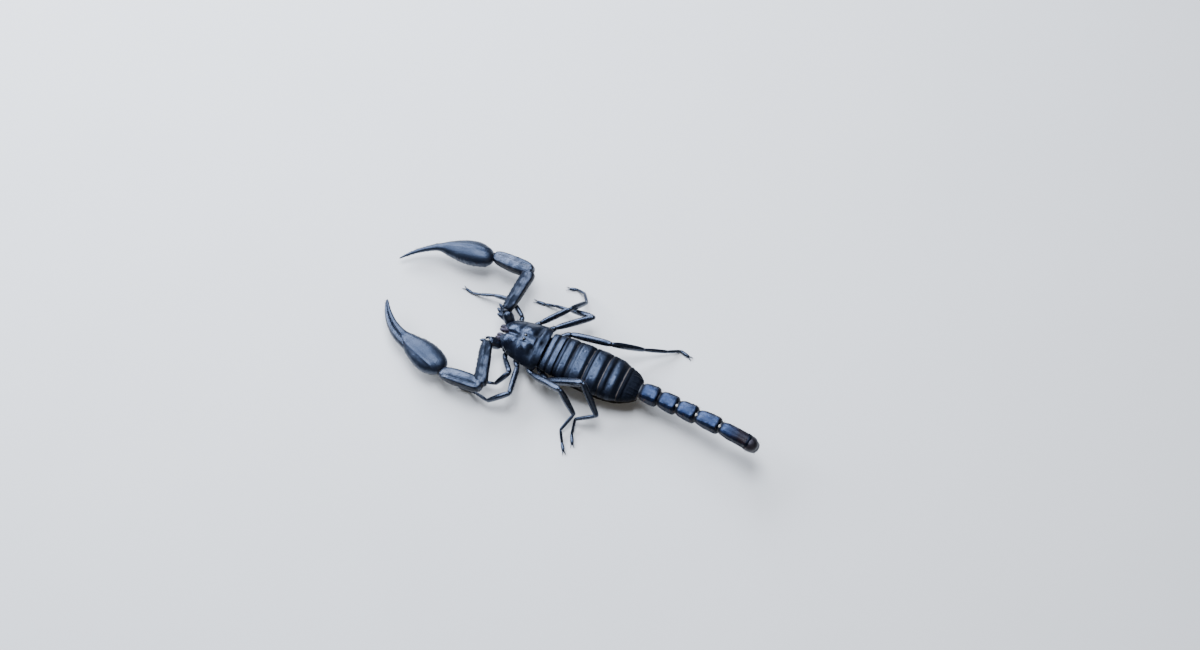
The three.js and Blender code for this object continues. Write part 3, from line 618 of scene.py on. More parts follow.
def cuticle(
    name, base, dark, blotch, grain, relief, rough, tint, dent=0.1, lines=0.0, tail_tip=None, coat=0.35
):
    """Hard shell skin: a base colour clouded with a darker one, dented and finely grained, under thin wax.

    Where a piece's attribute of painted shade and dullness is high, the colour is painted darker as shade and
    the sheen tint is dimmed, and it is rougher and unwaxed; below 0 it is polished.
    """
    material, tree, place = blank_material(name)
    clouds = add_node(
        tree, "ShaderNodeTexNoise",
        {"Scale": per_metre(blotch), "Detail": 5.0, "Roughness": 0.6}, {"Vector": place},
    ).outputs["Fac"]
    fine = add_node(
        tree, "ShaderNodeTexVoronoi", {"feature": "F1", "Scale": per_metre(grain)}, {"Vector": place}
    ).outputs["Distance"]
    scratch = add_node(
        tree, "ShaderNodeTexNoise",
        {"Scale": per_metre(0.9), "Detail": 6.0, "Roughness": 0.7}, {"Vector": place},
    ).outputs["Fac"]
    spread = add_node(
        tree, "ShaderNodeMapRange", {"From Min": 0.34, "From Max": 0.66}, {"Value": clouds}
    ).outputs["Result"]
    pits = add_node(
        tree, "ShaderNodeMapRange", {"From Min": 0.25, "From Max": 0.7, "To Min": 1.0, "To Max": 0.55},
        {"Value": fine},
    ).outputs["Result"]
    shade = add_node(
        tree, "ShaderNodeMix", {"data_type": "RGBA", 6: dark, 7: base}, {0: spread}
    ).outputs[2]
    if tail_tip:
        along = add_node(tree, "ShaderNodeSeparateXYZ", links={0: place}).outputs["Y"]
        browning = add_node(
            tree, "ShaderNodeMapRange", {"From Min": tail_tip[0], "From Max": tail_tip[1]},
            {"Value": along},
        ).outputs["Result"]
        shade = add_node(
            tree, "ShaderNodeMix", {"data_type": "RGBA", 7: tail_tip[2]}, {0: browning, 6: shade}
        ).outputs[2]
        sheen = add_node(
            tree, "ShaderNodeMix", {"data_type": "RGBA", 6: tint, 7: shaded(tail_tip[2], 0.6)}, {0: browning}
        ).outputs[2]
    else:
        sheen = add_node(tree, "ShaderNodeRGB").outputs[0]
        sheen.default_value = tint
    tone = add_node(
        tree, "ShaderNodeMix", {"data_type": "RGBA", "blend_type": "MULTIPLY", 0: 1.0},
        {6: shade, 7: pits},
    ).outputs[2]
    # Painted shade: the piece's attribute darkens the colour towards half of the dark colour; it also adds
    # roughness and takes the wax away.
    dull = add_node(tree, "ShaderNodeAttribute", {"attribute_name": "dull"}).outputs["Fac"]
    tone = add_node(
        tree, "ShaderNodeMix", {"data_type": "RGBA", 7: shaded(dark, 0.5)}, {0: dull, 6: tone}
    ).outputs[2]
    gloss = add_node(
        tree, "ShaderNodeMapRange",
        {"From Min": 0.3, "From Max": 0.7, "To Min": rough - 0.05, "To Max": rough + 0.09},
        {"Value": scratch},
    ).outputs["Result"]
    gloss = add_node(
        tree, "ShaderNodeMath", {"operation": "MULTIPLY_ADD", 1: 0.16}, {0: dull, 2: gloss}
    ).outputs[0]
    height = add_node(
        tree, "ShaderNodeMath", {"operation": "MULTIPLY_ADD", 1: -1.0}, {0: fine, 2: scratch}
    ).outputs[0]
    if lines:
        edges = add_node(
            tree, "ShaderNodeTexVoronoi", {"feature": "DISTANCE_TO_EDGE", "Scale": per_metre(lines)},
            {"Vector": place},
        ).outputs["Distance"]
        raised = add_node(
            tree, "ShaderNodeMapRange", {"From Min": 0.0, "From Max": 0.16, "To Min": 1.6, "To Max": 0.0},
            {"Value": edges},
        ).outputs["Result"]
        height = add_node(tree, "ShaderNodeMath", {"operation": "ADD"}, {0: height, 1: raised}).outputs[0]
    dents = add_node(
        tree, "ShaderNodeTexNoise", {"Scale": per_metre(1.4), "Detail": 2.0, "Roughness": 0.55},
        {"Vector": place},
    ).outputs["Fac"]
    dented = add_node(
        tree, "ShaderNodeBump", {"Strength": 1.0, "Distance": dent * MM}, {"Height": dents}
    ).outputs["Normal"]
    bumps = add_node(
        tree, "ShaderNodeBump", {"Strength": 0.6, "Distance": relief * MM},
        {"Height": height, "Normal": dented},
    ).outputs["Normal"]
    # Painted shade: where the attribute is high, the sheen tint dims towards a fraction of itself.
    sheen = add_node(
        tree, "ShaderNodeMix", {"data_type": "RGBA", 7: shaded(tint, 0.28)}, {0: dull, 6: sheen}
    ).outputs[2]
    wax = add_node(
        tree, "ShaderNodeMapRange", {"To Min": coat, "To Max": 0.0}, {"Value": dull}
    ).outputs["Result"]
    shader = add_node(
        tree, "ShaderNodeBsdfPrincipled", {"IOR": 1.6, "Coat Roughness": 0.26, "Coat IOR": 1.45},
        {"Base Color": tone, "Roughness": gloss, "Normal": bumps, "Specular Tint": sheen, "Coat Weight": wax},
    )
    add_node(tree, "ShaderNodeOutputMaterial", links={"Surface": shader.outputs[0]})
    return material


def soft_skin(name, base, speck, fold, rough, amount):
    """Soft skin between the plates: matte, finely wrinkled, with paler specks where it is stretched."""
    material, tree, place = blank_material(name)
    wrinkles = add_node(
        tree, "ShaderNodeTexNoise",
        {"Scale": per_metre(fold), "Detail": 6.0, "Roughness": 0.65, "Distortion": 0.6}, {"Vector": place},
    ).outputs["Fac"]
    specks = add_node(
        tree, "ShaderNodeTexNoise", {"Scale": per_metre(1.1), "Detail": 4.0}, {"Vector": place}
    ).outputs["Fac"]
    pale = add_node(
        tree, "ShaderNodeMapRange", {"From Min": amount, "From Max": amount + 0.12}, {"Value": specks}
    ).outputs["Result"]
    shade = add_node(
        tree, "ShaderNodeMix", {"data_type": "RGBA", 6: base, 7: speck}, {0: pale}
    ).outputs[2]
    bumps = add_node(
        tree, "ShaderNodeBump", {"Strength": 0.7, "Distance": 0.08 * MM}, {"Height": wrinkles}
    ).outputs["Normal"]
    shader = add_node(
        tree, "ShaderNodeBsdfPrincipled", {"IOR": 1.45, "Roughness": rough},
        {"Base Color": shade, "Normal": bumps},
    )
    add_node(tree, "ShaderNodeOutputMaterial", links={"Surface": shader.outputs[0]})
    return material


SHEEN = (0.5, 0.66, 1.0, 1.0)  # the blue cast of light reflected from the outer layer
TAIL_SHEEN = (0.26, 0.42, 0.85, 1.0)  # the same, deeper on the tail
FINISHES = {}


def finish(name):
    """Each finish is made once, from the colours in the panel."""
    if name in FINISHES:
        return FINISHES[name]
    c = colours()
    brown = tuple(c.sting)
    ring_front, ring_rear = (corner.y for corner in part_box("tail_5"))
    ring_long = ring_rear - ring_front
    tip = (ring_front + 0.22 * ring_long, ring_front + 0.6 * ring_long, brown)  # it browns between these
    makers = {
        # Tanned chitin moulted whole, waxed by its own glands: a satin blue sheen broken by shallow dents.
        "back_plate_cuticle": lambda n: cuticle(
            n, c.back, c.back_dark, 3.0, 0.16, 0.02, 0.35, SHEEN, dent=0.07, coat=0.1),
        # The same chitin, coarse with granules: it scatters the light and stays nearly black.
        "rear_plate_matte_cuticle": lambda n: cuticle(
            n, c.back_dark, c.back_dark, 3.0, 0.22, 0.06, 0.55, shaded(SHEEN, 0.5), coat=0.0),
        # Chitin with a raised net of fine lines: the sheen of the hand breaks into a woven glitter.
        "claw_netted_cuticle": lambda n: cuticle(
            n, c.claw, c.back_dark, 2.5, 0.18, 0.008, 0.42, SHEEN, dent=0.06, lines=0.8, coat=0.15),
        # Chitin of the arms, granular along its keels: on the upper arms, bright narrow bands between sides
        # darkened as painted shade.
        "arm_cuticle": lambda n: cuticle(
            n, c.claw, c.back_dark, 2.5, 0.18, 0.035, 0.32, SHEEN, dent=0.16),
        # Bluer, smoother chitin that browns towards the last ring's end.
        "tail_cuticle": lambda n: cuticle(
            n, c.tail, c.back_dark, 2.5, 0.2, 0.02, 0.36, TAIL_SHEEN, dent=0.08, tail_tip=tip, coat=0.15),
        # Polished chitin, nearly black, with a narrow wet glint along each length.
        "leg_polished_cuticle": lambda n: cuticle(
            n, c.limb, c.back_dark, 2.0, 0.2, 0.015, 0.26, SHEEN, dent=0.05, coat=0.25),
        # Thinner tanned chitin, brown and evenly smooth: a warm quiet gloss underneath.
        "belly_smooth_cuticle": lambda n: cuticle(
            n, c.belly, shaded(c.belly, 0.5), 4.0, 0.3, 0.012, 0.3, (1, 0.9, 0.8, 1), dent=0.05, coat=0.05),
        # Red-brown chitin of the sting, tanned nearly black and unwaxed: one broad soft gloss on its bulb.
        "sting_cuticle": lambda n: cuticle(
            n, brown, c.back_dark, 2.0, 0.25, 0.03, 0.44, (0.6, 0.58, 0.66, 1.0), coat=0.0),
        # Purple-brown chitin of the jaws, hard and slightly greasy: it keeps small violet glints.
        "mouth_claw_cuticle": lambda n: cuticle(
            n, c.jaw, c.back_dark, 1.5, 0.2, 0.02, 0.38, (0.55, 0.5, 0.66, 1.0), coat=0.05),
        # Clear chitin over black pigment: one sharp bright point on black.
        "eye_lens_clear_cuticle": lambda n: cuticle(
            n, c.eye, c.eye, 1.0, 0.3, 0.0005, 0.12, (1, 1, 1, 1), dent=0.0, coat=1.0),
        # Untanned skin folded at the flanks: dull grey-brown, flecked where it is stretched.
        "flank_membrane": lambda n: soft_skin(n, c.membrane, c.seam, 0.45, 0.62, 0.56),
        # The same skin drawn thin between plates: a dull tan line.
        "seam_membrane": lambda n: soft_skin(n, c.seam, c.membrane, 0.3, 0.55, 0.55),
        # Soft skin in the limb joints, tanned nearly as dark as the shell: it closes the joint quietly.
        "joint_membrane": lambda n: soft_skin(n, c.joint, c.membrane, 0.3, 0.5, 0.62),
        # Pale skin bulging in a bent joint, stretched tight: a small whitish spot, partly a painted highlight
        # of a wet glint.
        "stretched_membrane": lambda n: soft_skin(n, c.pad, c.seam, 0.25, 0.35, 0.6),
        # Thin amber chitin of the combs: matte and warm.
        "comb_soft_cuticle": lambda n: soft_skin(n, c.comb, c.membrane, 0.35, 0.5, 0.58),
        # Horny bristles grown from sockets: fine reddish-brown points.
        "bristle_horn": lambda n: soft_skin(n, c.bristle, c.back_dark, 0.2, 0.35, 0.55),
    }
    FINISHES[name] = makers[name](name)
    return FINISHES[name]


# ------------------------------------------------------------------ the trunk's surfaces

trunk_half_width = profile(
    (0, 7.5), (6, 8.1), (14, 8.5), (24, 8.5), (30, 7.5), (34, 5.7), (TRUNK_LENGTH, 4.0)
)
trunk_top = profile((0, 10.5), (5, 11.5), (14, 12.1), (23, 12.0), (30, 11.0), (TRUNK_LENGTH, 10.2))
trunk_belly = profile((0, 3.4), (8, 2.9), (22, 2.9), (30, 3.6), (TRUNK_LENGTH, 5.6))
flank_height = profile((0, 7.0), (28, 7.0), (TRUNK_LENGTH, 7.6))
carapace_half_width = profile((-17, 5.2), (-15, 6.1), (-11, 7.2), (-5, 8.3), (-2, 8.5), (0, 7.9))


def back_point(s, y, inset):
    """The back at s from -1 (right flank) to 1 (left flank), inset below the plates' surface."""
    angle = s * 0.97 * np.pi / 2
    x = np.sign(s) * (trunk_half_width(y) - inset) * np.abs(np.sin(angle)) ** 0.88
    z = flank_height(y) + (trunk_top(y) - flank_height(y) - inset) * np.abs(np.cos(angle)) ** 0.8
    return np.stack((x, y, z), axis=1)


def belly_point(s, y, inset):
    angle = s * 0.9 * np.pi / 2
    margin = flank_height(y) - 1.5
    x = np.sign(s) * (trunk_half_width(y) - 0.5 - inset) * np.abs(np.sin(angle)) ** 0.8
    z = margin - (margin - trunk_belly(y) - inset) * np.abs(np.cos(angle)) ** 0.55
    return np.stack((x, y, z), axis=1)


def carapace_hollow(x, y):
    """The hollow across each flank behind the eyes, with the fine furrow that joins them, from 0 to 1."""
    out = np.abs(x)
    deep = bump(np.maximum(out - 4.6, 0) / 2.6, 1) * smooth(out, 1.2, 3.0) * bump(y + 4.9 - 0.1 * out, 1.25)
    return np.maximum(deep, 0.35 * bump(y + 3.9, 0.32) * bump(out, 7.5))


def carapace_height(x, y):
    """Two front lobes, an eye mound between cheeks, two hollows across the flanks and a raised rear rim."""
    out = np.abs(x)
    edge = np.minimum(out / carapace_half_width(y), 1)
    crown = 10.9 - 0.012 * (y + 5) ** 2
    dome = (1 - edge**2.6) ** 0.62
    front = smooth(y, -18.2, -14.4)
    lobe = 0.6 * bump(np.hypot((out - 2.9) / 2.8, (y + 13.3) / 3.2), 1)
    notch = (1.0 - 0.65 * smooth(y, -17.0, -11.5)) * bump(x, 0.75) * (1 - smooth(y, -11.4, -9.6))
    ditch = 0.32 * bump(y + 10.6 - 0.22 * (out - 2), 0.8) * smooth(out, 0.8, 2.4)
    saddle = 0.3 * bump(x, 1.4) * bump(y + 10.4, 0.7)
    mound = 0.6 * bump(x, 1.5) * bump(y + 8.1, 1.8)
    cheek = 0.4 * bump(np.hypot((out - 3.9) / 1.9, (y + 7.7) / 1.7), 1)
    hollow = carapace_hollow(x, y)
    ridge = 0.25 * bump(x, 1.4) * bump(y + 5.2, 1.6)
    rim = 0.3 * smooth(y, -3.9, -3.1) - 0.2 * bump(y + 1.7, 0.8)
    pit = 0.3 * bump(np.hypot(x + 0.4, y + 1.6), 0.55)
    fall = 0.3 * smooth(y, -0.35, 0.0)
    shape = (crown - CARAPACE_FLOOR) * dome * (0.62 + 0.38 * front)
    relief = lobe + mound + cheek + ridge + rim - notch - ditch - saddle - 0.8 * hollow - pit - fall
    return CARAPACE_FLOOR + 0.35 + shape + relief * dome


def carapace_surface(s, t):
    lobe = bump(np.abs(s) - 0.5, 0.34)
    front = -CARAPACE_LENGTH + 2.6 * (1 - lobe) + 0.5 * np.abs(s) ** 6
    rear = -0.1 - 0.9 * s**6
    y = front + (rear - front) * t
    x = s * carapace_half_width(y) * (1 - 0.05 * (1 - t) * (1 - np.abs(s)))
    return np.stack((x, y, carapace_height(x, y)), axis=1)


# ------------------------------------------------------------------ one operator for each kind of piece


class Draws:
    bl_options = {"REGISTER", "UNDO"}


class SCORPION_OT_stage(Draws, bpy.types.Operator):
    """Lays a plain floor and sets the soft lights and the camera"""

    bl_idname = "scorpion.stage"
    bl_label = "Stage"

    def execute(self, context):
        material = bpy.data.materials.new("matte_paper_floor")
        material.use_nodes = True
        tree = material.node_tree
        shader = tree.nodes["Principled BSDF"]
        shader.inputs["Roughness"].default_value = 0.9
        place = add_node(tree, "ShaderNodeTexCoord").outputs["Object"]
        fibre = add_node(
            tree, "ShaderNodeTexNoise", {"Scale": per_metre(60.0), "Detail": 3.0}, {"Vector": place}
        ).outputs["Fac"]
        floor = tuple(colours().floor)
        tone = add_node(
            tree, "ShaderNodeMix",
            {"data_type": "RGBA", 6: floor, 7: shaded(floor, 0.94)}, {0: fibre},
        )
        tree.links.new(tone.outputs[2], shader.inputs["Base Color"])
        deselect()
        bpy.ops.mesh.primitive_plane_add(size=4)
        sheet = take("floor")
        sheet.data.materials.append(material)

        world = bpy.data.worlds.new("studio")
        context.scene.world = world
        world.use_nodes = True
        sky = world.node_tree.nodes["Background"]
        sky.inputs["Color"].default_value = linear("dfe4ea")
        sky.inputs["Strength"].default_value = 0.14
        # Name, place and size in metres, power in watts and colour: a soft light overhead, a broad low one
        # ahead that gives most of the sheen, and a faint one behind.
        for name, place, size, power, code in (
            ("light_overhead", (-0.13, -0.08, 0.58), (0.3, 0.3), 6.0, "dfeaff"),
            ("light_front", (-0.27, -0.57, 0.42), (1.0, 0.36), 20.0, "dce8ff"),
            ("light_rear", (0.3, 0.5, 0.35), (0.3, 0.3), 0.3, "fff6ea"),
        ):
            lamp = bpy.data.lights.new(name, "AREA")
            lamp.shape, lamp.size, lamp.size_y, lamp.energy = "RECTANGLE", *size, power
            lamp.color = linear(code)[:3]
            light = bpy.data.objects.new(name, lamp)
            context.collection.objects.link(light)
            light.location = place
            light.rotation_euler = (-Vector(place)).to_track_quat("-Z", "Y").to_euler()

        azimuth, elevation = math.radians(CAMERA_AZIMUTH), math.radians(CAMERA_ELEVATION)
        back = Vector((
            math.sin(azimuth) * math.cos(elevation), -math.cos(azimuth) * math.cos(elevation),
            math.sin(elevation),
        ))
        aim = Vector(CAMERA_AIM) + Vector(SHIFT)
        lens = bpy.data.cameras.new("camera")
        lens.lens, lens.sensor_width = 50, 36
        lens.clip_start, lens.clip_end = 0.02, 20
        camera = bpy.data.objects.new("camera", lens)
        context.collection.objects.link(camera)
        camera.location = aim * MM + back * CAMERA_DISTANCE
        camera.rotation_euler = (-back).to_track_quat("-Z", "Y").to_euler()
        context.scene.camera = camera
        return {"FINISHED"}


class SCORPION_OT_carapace(Draws, bpy.types.Operator):
    """Draws the head shield: lobes, furrows, eye mound, grains on its sides and a beaded margin"""

    bl_idname = "scorpion.carapace"
    bl_label = "Carapace"

    def execute(self, context):
        size = sizes()
        shield = draw_sheet("carapace_shield", 150, 150, carapace_surface)

        def relief(p, n):
            x, y = np.abs(p[:, 0]), p[:, 1]
            edge = x / carapace_half_width(y)
            side = smooth(edge, 0.6, 0.85)
            strewn = grains(p, size.grain / MM, 3) * side * size.grain_height / MM
            bead = 0.16 * bump(edge - 0.985, 0.02)
            sockets = -0.1 * bump(np.hypot(x - EYE_APART / 2, y - EYE_Y) - EYE_RADIUS - 0.1, 0.16)
            brows = 0.2 * bump(x - 1.35, 0.3) * bump(y - EYE_Y + 0.1, 1.0)
            dents = 0.06 * swells(p, 1.7, 8) + 0.02 * swells(p, 0.8, 9)
            return strewn + bead + sockets + brows + dents

        # Painted shade: the carapace is darkened and dulled in its hollows, over the rear behind them and at
        # its rear rim, in a band ahead of the eyes, on the slopes beside the eyes, at its rear corners and
        # along its margin, with random clouds.
        def dull(p):
            x, y = p[:, 0], p[:, 1]
            out = np.abs(x)
            corner = smooth(out, 5.2, 7.0) * smooth(y, -3.0, -1.0)
            lines = bump(y + 3.0, 0.45) + bump(y + 0.5, 0.35)
            valley = smooth(y, -4.6, -4.0) * (0.55 - 0.4 * lines) * bump(x + 0.8, 3.2)
            valley = valley + bump(y + 10.6, 0.9) * bump(x, 4.5)
            valley = valley + 0.9 * bump(y + 1.1, 0.8) * bump(x + 0.8, 2.3)
            eyes = 0.5 * bump(np.hypot((out - 1.9) / 0.8, (y + 7.6) / 1.6), 1)
            margin = 0.7 * smooth(out / carapace_half_width(y), 0.82, 0.95)
            clouds = 0.22 * swells(p, 1.9, 71)
            # Painted highlight: polished, less darkened patches on the front lobes and the cheeks, where the
            # front light's sheen falls.
            highlight_polish = 0.9 * bump(np.hypot((out - 2.6) / 2.4, (y + 13.4) / 3.0), 1)
            highlight_polish = highlight_polish + 0.8 * bump(np.hypot((out - 3.2) / 2.0, (y + 7.9) / 1.7), 1)
            marks = carapace_hollow(x, y) + corner + valley + eyes + margin + clouds + smooth(y, -0.22, 0.0)
            return marks - highlight_polish

        swell(shield, relief)
        modify(shield, "SOLIDIFY", thickness=CARAPACE_WALL, offset=-1.0)
        darken(shield, dull)
        settle(shield, "back_plate_cuticle", ["carapace"], angle=CREASE)
        return {"FINISHED"}


class SCORPION_OT_eyes(Draws, bpy.types.Operator):
    """Draws the two median eyes and the rows of three small eyes at the front corners"""

    bl_idname = "scorpion.eyes"
    bl_label = "Eyes"

    def execute(self, context):
        for side, sign in SIDES.items():
            x = sign * EYE_APART / 2
            height = float(carapace_height(np.array([x]), np.array([EYE_Y]))[0]) - 0.12
            lens = draw_lens(f"eye_median_{side}", (x, EYE_Y, height), EYE_RADIUS * 0.97)
            settle(lens, "eye_lens_clear_cuticle", [f"median_eye_{side}"])
            row = []
            (x0, y0), (x1, y1) = LATERAL_EYE_ENDS
            for number, part in enumerate((0.0, 0.5, 1.0)):
                ex, ey = x0 + (x1 - x0) * part, y0 + (y1 - y0) * part
                ez = float(carapace_height(np.array([ex * 0.97]), np.array([ey]))[0])
                row.append(draw_lens("eye", (sign * ex, ey, ez), 0.36 - 0.04 * number, 20))
            settle(
                unite(row, f"eyes_lateral_{side}"), "eye_lens_clear_cuticle",
                [f"lateral_eyes_{side}"],
            )
        return {"FINISHED"}


class SCORPION_OT_back_plates(Draws, bpy.types.Operator):
    """Draws the overlapping back plates, each with a front groove, muscle pits and a rear lip"""

    bl_idname = "scorpion.back_plates"
    bl_label = "Back plates"

    def execute(self, context):
        size = sizes()
        start = 0.0
        for index, step in enumerate(TERGITE_LENGTHS):
            front = start + (FIRST_GAP if index == 0 else -OVERLAP)
            rear = start + step - (NARROW_REAR_GAP if index < 2 else REAR_GAP)
            last = index == len(TERGITE_LENGTHS) - 1

            def surface(s, t):
                y = front + (rear - front) * t
                part = (y - start) / step
                tucked = 0.5 * (1 - smooth(part, -0.1, 0.07))
                return back_point(s, y, 0.28 * (1 - np.clip(part, 0, 1)) + tucked)

            def relief(p, n):
                x, part = np.abs(p[:, 0]), (p[:, 1] - start) / step
                groove_at, groove_wide, groove_deep, turn = BANDS[index]
                groove = -groove_deep * bump(part - groove_at, groove_wide / step) * (1 - smooth(x, 6.0, 7.8))
                fall = -(0.5 if index < 2 else 0.75) * smooth(part, turn - 0.04, 0.98)
                fall = fall * (1 - 0.5 * smooth(x, 6, 8))
                lip = 0.05 * bump(part - 0.9, 0.16 / step)
                ridge = 0.07 * bump(x, 0.35)
                pits = -0.09 * sum(
                    bump(np.hypot(x - across, (part - along) * step), 0.34)
                    for across, along in ((1.5, 0.36), (3.9, 0.4))
                ) * (index in (2, 3, 4, 5))
                waves = 0.05 * swells(p, 2.2, index) + 0.015 * swells(p, 0.9, index + 9)
                where = smooth(x, 4.8, 6.5) + 0.8 * smooth(part, 0.66, 0.8) + (1.0 if last else 0.0)
                strewn = grains(p, size.grain / MM, index) * np.minimum(where, 1) * size.grain_height / MM
                keels = 0.0
                if last:
                    keels = 0.22 * (bump(x - 1.3, 0.25) + bump(x - 3.4, 0.25)) * smooth(part, 0.25, 0.5)
                    fall = fall * 0.4
                return groove + fall + lip + ridge + pits + waves + strewn + keels

            # Painted shade: each plate is darkened and dulled at its turned-down rear, at its front as far as
            # its groove, in the groove and on its flanks, with random clouds; the rear plate nearly all over,
            # partly for its granules and partly as painted shade where it slopes away.
            def dull(p):
                x, part = np.abs(p[:, 0]), (p[:, 1] - start) / step
                groove_at, groove_wide, groove_deep, turn = BANDS[index]
                rear = smooth(part + 0.012 * swells(p, 1.2, 72), turn, turn + 0.9 / step)
                front = 1 - smooth(part, 0.1 / step, 0.75 / step) * (1.0 if index < 2 else 0.75)
                front = front * (1 - smooth(part, groove_at, groove_at + 0.5 / step)) if index > 1 else front
                groove = 2.2 * groove_deep * bump(part - groove_at, groove_wide / step)
                flank = 0.5 * smooth(x, 5.5, 7.5)
                clouds = 0.2 * swells(p, 1.9, 73)
                return rear + front + groove + flank + clouds + (0.9 if last else 0.08)

            plate = draw_sheet(f"back_plate_{index + 1}", 150, max(int(step * 9), 30), surface)
            swell(plate, relief)
            modify(plate, "SOLIDIFY", thickness=size.shell / MM, offset=-1.0)
            darken(plate, dull)
            skin = "rear_plate_matte_cuticle" if last else "back_plate_cuticle"
            settle(plate, skin, [f"tergite_{index + 1}"], angle=CREASE)
            start += step
        return {"FINISHED"}


class SCORPION_OT_soft_body(Draws, bpy.types.Operator):
    """Draws the soft trunk, folded at the flanks and stretched pale in the seams between plates"""

    bl_idname = "scorpion.soft_body"
    bl_label = "Soft body"

    def execute(self, context):
        def surface(s, t):
            y = 0.25 + (TRUNK_LENGTH - 0.35 - 0.25) * t
            turn = s * 2  # 0 is the midline of the back, 2 the midline of the belly
            back = back_point(np.clip(turn, -1, 1), y, 0.95)
            belly = belly_point(np.sign(turn) * np.clip(2 - np.abs(turn), 0, 1), y, 1.15)
            part = smooth(np.abs(turn), 0.94, 1.12)[:, None]
            skin = back * (1 - part) + belly * part
            flank = bump(np.abs(turn) - 1.03, 0.13)
            folds = 0.5 + 0.11 * np.sin(skin[:, 2] * 2 * np.pi / 0.55 + 0.6 * np.sin(y * 1.3))
            skin[:, 0] += np.sign(turn) * flank * folds
            return skin

        body = draw_sheet("trunk_soft_skin", 280, 150, surface, closed=True)
        settle(body, "flank_membrane", ["trunk"])
        start = 0.0
        seams = []
        for index, step in enumerate(TERGITE_LENGTHS[:-1]):
            start += step
            if index < 2:
                continue

            def strip(s, t):
                return back_point(s * 0.93, start - 0.75 + 0.64 * t, 0.72 - 0.08 * np.sin(np.pi * t))

            seam = draw_sheet(f"trunk_seam_skin_{index + 1}", 80, 6, strip)
            modify(seam, "SOLIDIFY", thickness=SEAM_WALL, offset=-1.0)
            seams.append(seam)
        settle(seams.pop(2), "seam_membrane", angle=CREASE)
        settle(unite(seams, "trunk_seam_skins"), "flank_membrane", angle=CREASE)
        return {"FINISHED"}


class SCORPION_OT_belly_plates(Draws, bpy.types.Operator):
    """Draws the belly plates with their breathing slits, the genital lids and the combs"""

    bl_idname = "scorpion.belly_plates"
    bl_label = "Belly plates"

    def execute(self, context):
        size = sizes()
        for index in range(5):
            front, rear = STERNITE_EDGES[index] - 0.2, STERNITE_EDGES[index + 1] - 0.3

            def surface(s, t):
                return belly_point(-s, front + (rear - front) * t, 0.0)

            def relief(p, n):
                x, part = np.abs(p[:, 0]), (p[:, 1] - front) / (rear - front)
                slant = (p[:, 1] - (front + 0.45 * (rear - front))) - 0.35 * (x - 4.4)
                slit = -0.22 * bump(slant, 0.16) * bump(x - 4.4, 0.75) * (index < 4)
                rim = 0.08 * bump(slant - 0.35, 0.2) * bump(x - 4.4, 0.9) * (index < 4)
                lines = -0.1 * bump(x - 2.0, 0.2) * smooth(part, 0.1, 0.4)
                return slit + rim + lines - 0.1 * smooth(part, 0.8, 1.0)

            plate = draw_sheet(f"belly_plate_{index + 3}", 130, 40, surface)
            swell(plate, relief)
            modify(plate, "SOLIDIFY", thickness=size.shell / MM, offset=-1.0)
            settle(plate, "belly_smooth_cuticle", [f"sternite_{index + 3}"], angle=CREASE)

        lids = []
        for sign in SIDES.values():
            lid = draw_ball("lid", (sign * 0.86, 2.25, 2.62), (0.84, 1.3, 0.34), 32)
            p = points_of(lid)
            p[:, 0] -= sign * 0.16 * (p[:, 1] - 2.25)
            set_points(lid, p)
            lids.append(lid)
        settle(unite(lids, "genital_lids"), "belly_smooth_cuticle", ["genital_operculum"])

        for side, sign in SIDES.items():
            spine = draw_length(
                "spine", [(0, 0.5, 0.45), (0.4, 0.95, 0.55), (3.2, 0.85, 0.52), (5.9, 0.5, 0.42),
                          (6.3, 0.2, 0.2)],
                section(12, 2.4), 2,
            )
            teeth = []
            for number in range(12):
                z = 0.5 + number * 0.46
                reach = 1.25 * (1 - 0.25 * number / 12)
                tooth = draw_ball("tooth", (0.3 + reach / 2, 0, z), (reach / 2, 0.2, 0.19), 14)
                bead = draw_ball("bead", (0.32, 0.05, z + 0.2), (0.24, 0.24, 0.17), 10)
                teeth += [tooth, bead]
            comb = unite([spine] + teeth, f"comb_{side}")
            turn = math.radians(28)
            start = np.array((sign * 1.0, 4.9, 2.27))
            ahead = np.array((sign * math.cos(turn), math.sin(turn), 0.0))
            lay(comb, [start, start + ahead * 6.4], sign, side=np.array((-ahead[1], ahead[0], 0.0)))
            face_outwards(comb)
            settle(comb, "comb_soft_cuticle", [f"pectine_{side}"])
        return {"FINISHED"}


# ------------------------------------------------------------------ the limbs' lines


def chain(root, steps):
    """The joints of a limb: each step is a length, a sign, a heading and a pitch."""
    joints = [np.array(root, float)]
    for reach, sign, heading, pitch in steps:
        joints.append(joints[-1] + direction(sign, heading, pitch) * reach)
    return joints


def pedipalp_joints(side):
    sign = SIDES[side]
    x, y, z = PEDIPALP_ROOT
    steps = [(r, sign, *pose) for r, pose in zip(PEDIPALP_LENGTHS, PEDIPALP_POSES[side])]
    return chain((sign * x, y, z), steps)


def leg_joints(side, index):
    sign = SIDES[side]
    lengths, (headings, pitches) = LEG_LENGTHS[index], LEG_POSES[side][index]
    x, y, z = HIPS[index]
    root = (sign * x, y, z)
    upper = chain(root, [(lengths[i], sign, headings[i], pitches[i]) for i in range(3)])
    slope = math.degrees(math.asin((TARSUS_HEIGHT - upper[3][2]) / (lengths[3] + lengths[4])))
    pitches = list(pitches) + [slope, slope, 0]
    return chain(root, [(lengths[i], sign, headings[i], pitches[i]) for i in range(6)])


def tail_joints():
    return chain(TAIL_ROOT, [(step, -1, 180 + heading, pitch) for step, _, _, heading, pitch in TAIL])


def part_way(a, b, part):
    return a + (b - a) * part


def keel(p, at_x, at_y, width):
    """A ridge along a length, at that place of its cross-section."""
    return bump(np.hypot(p[:, 0] - at_x, p[:, 1] - at_y), width)


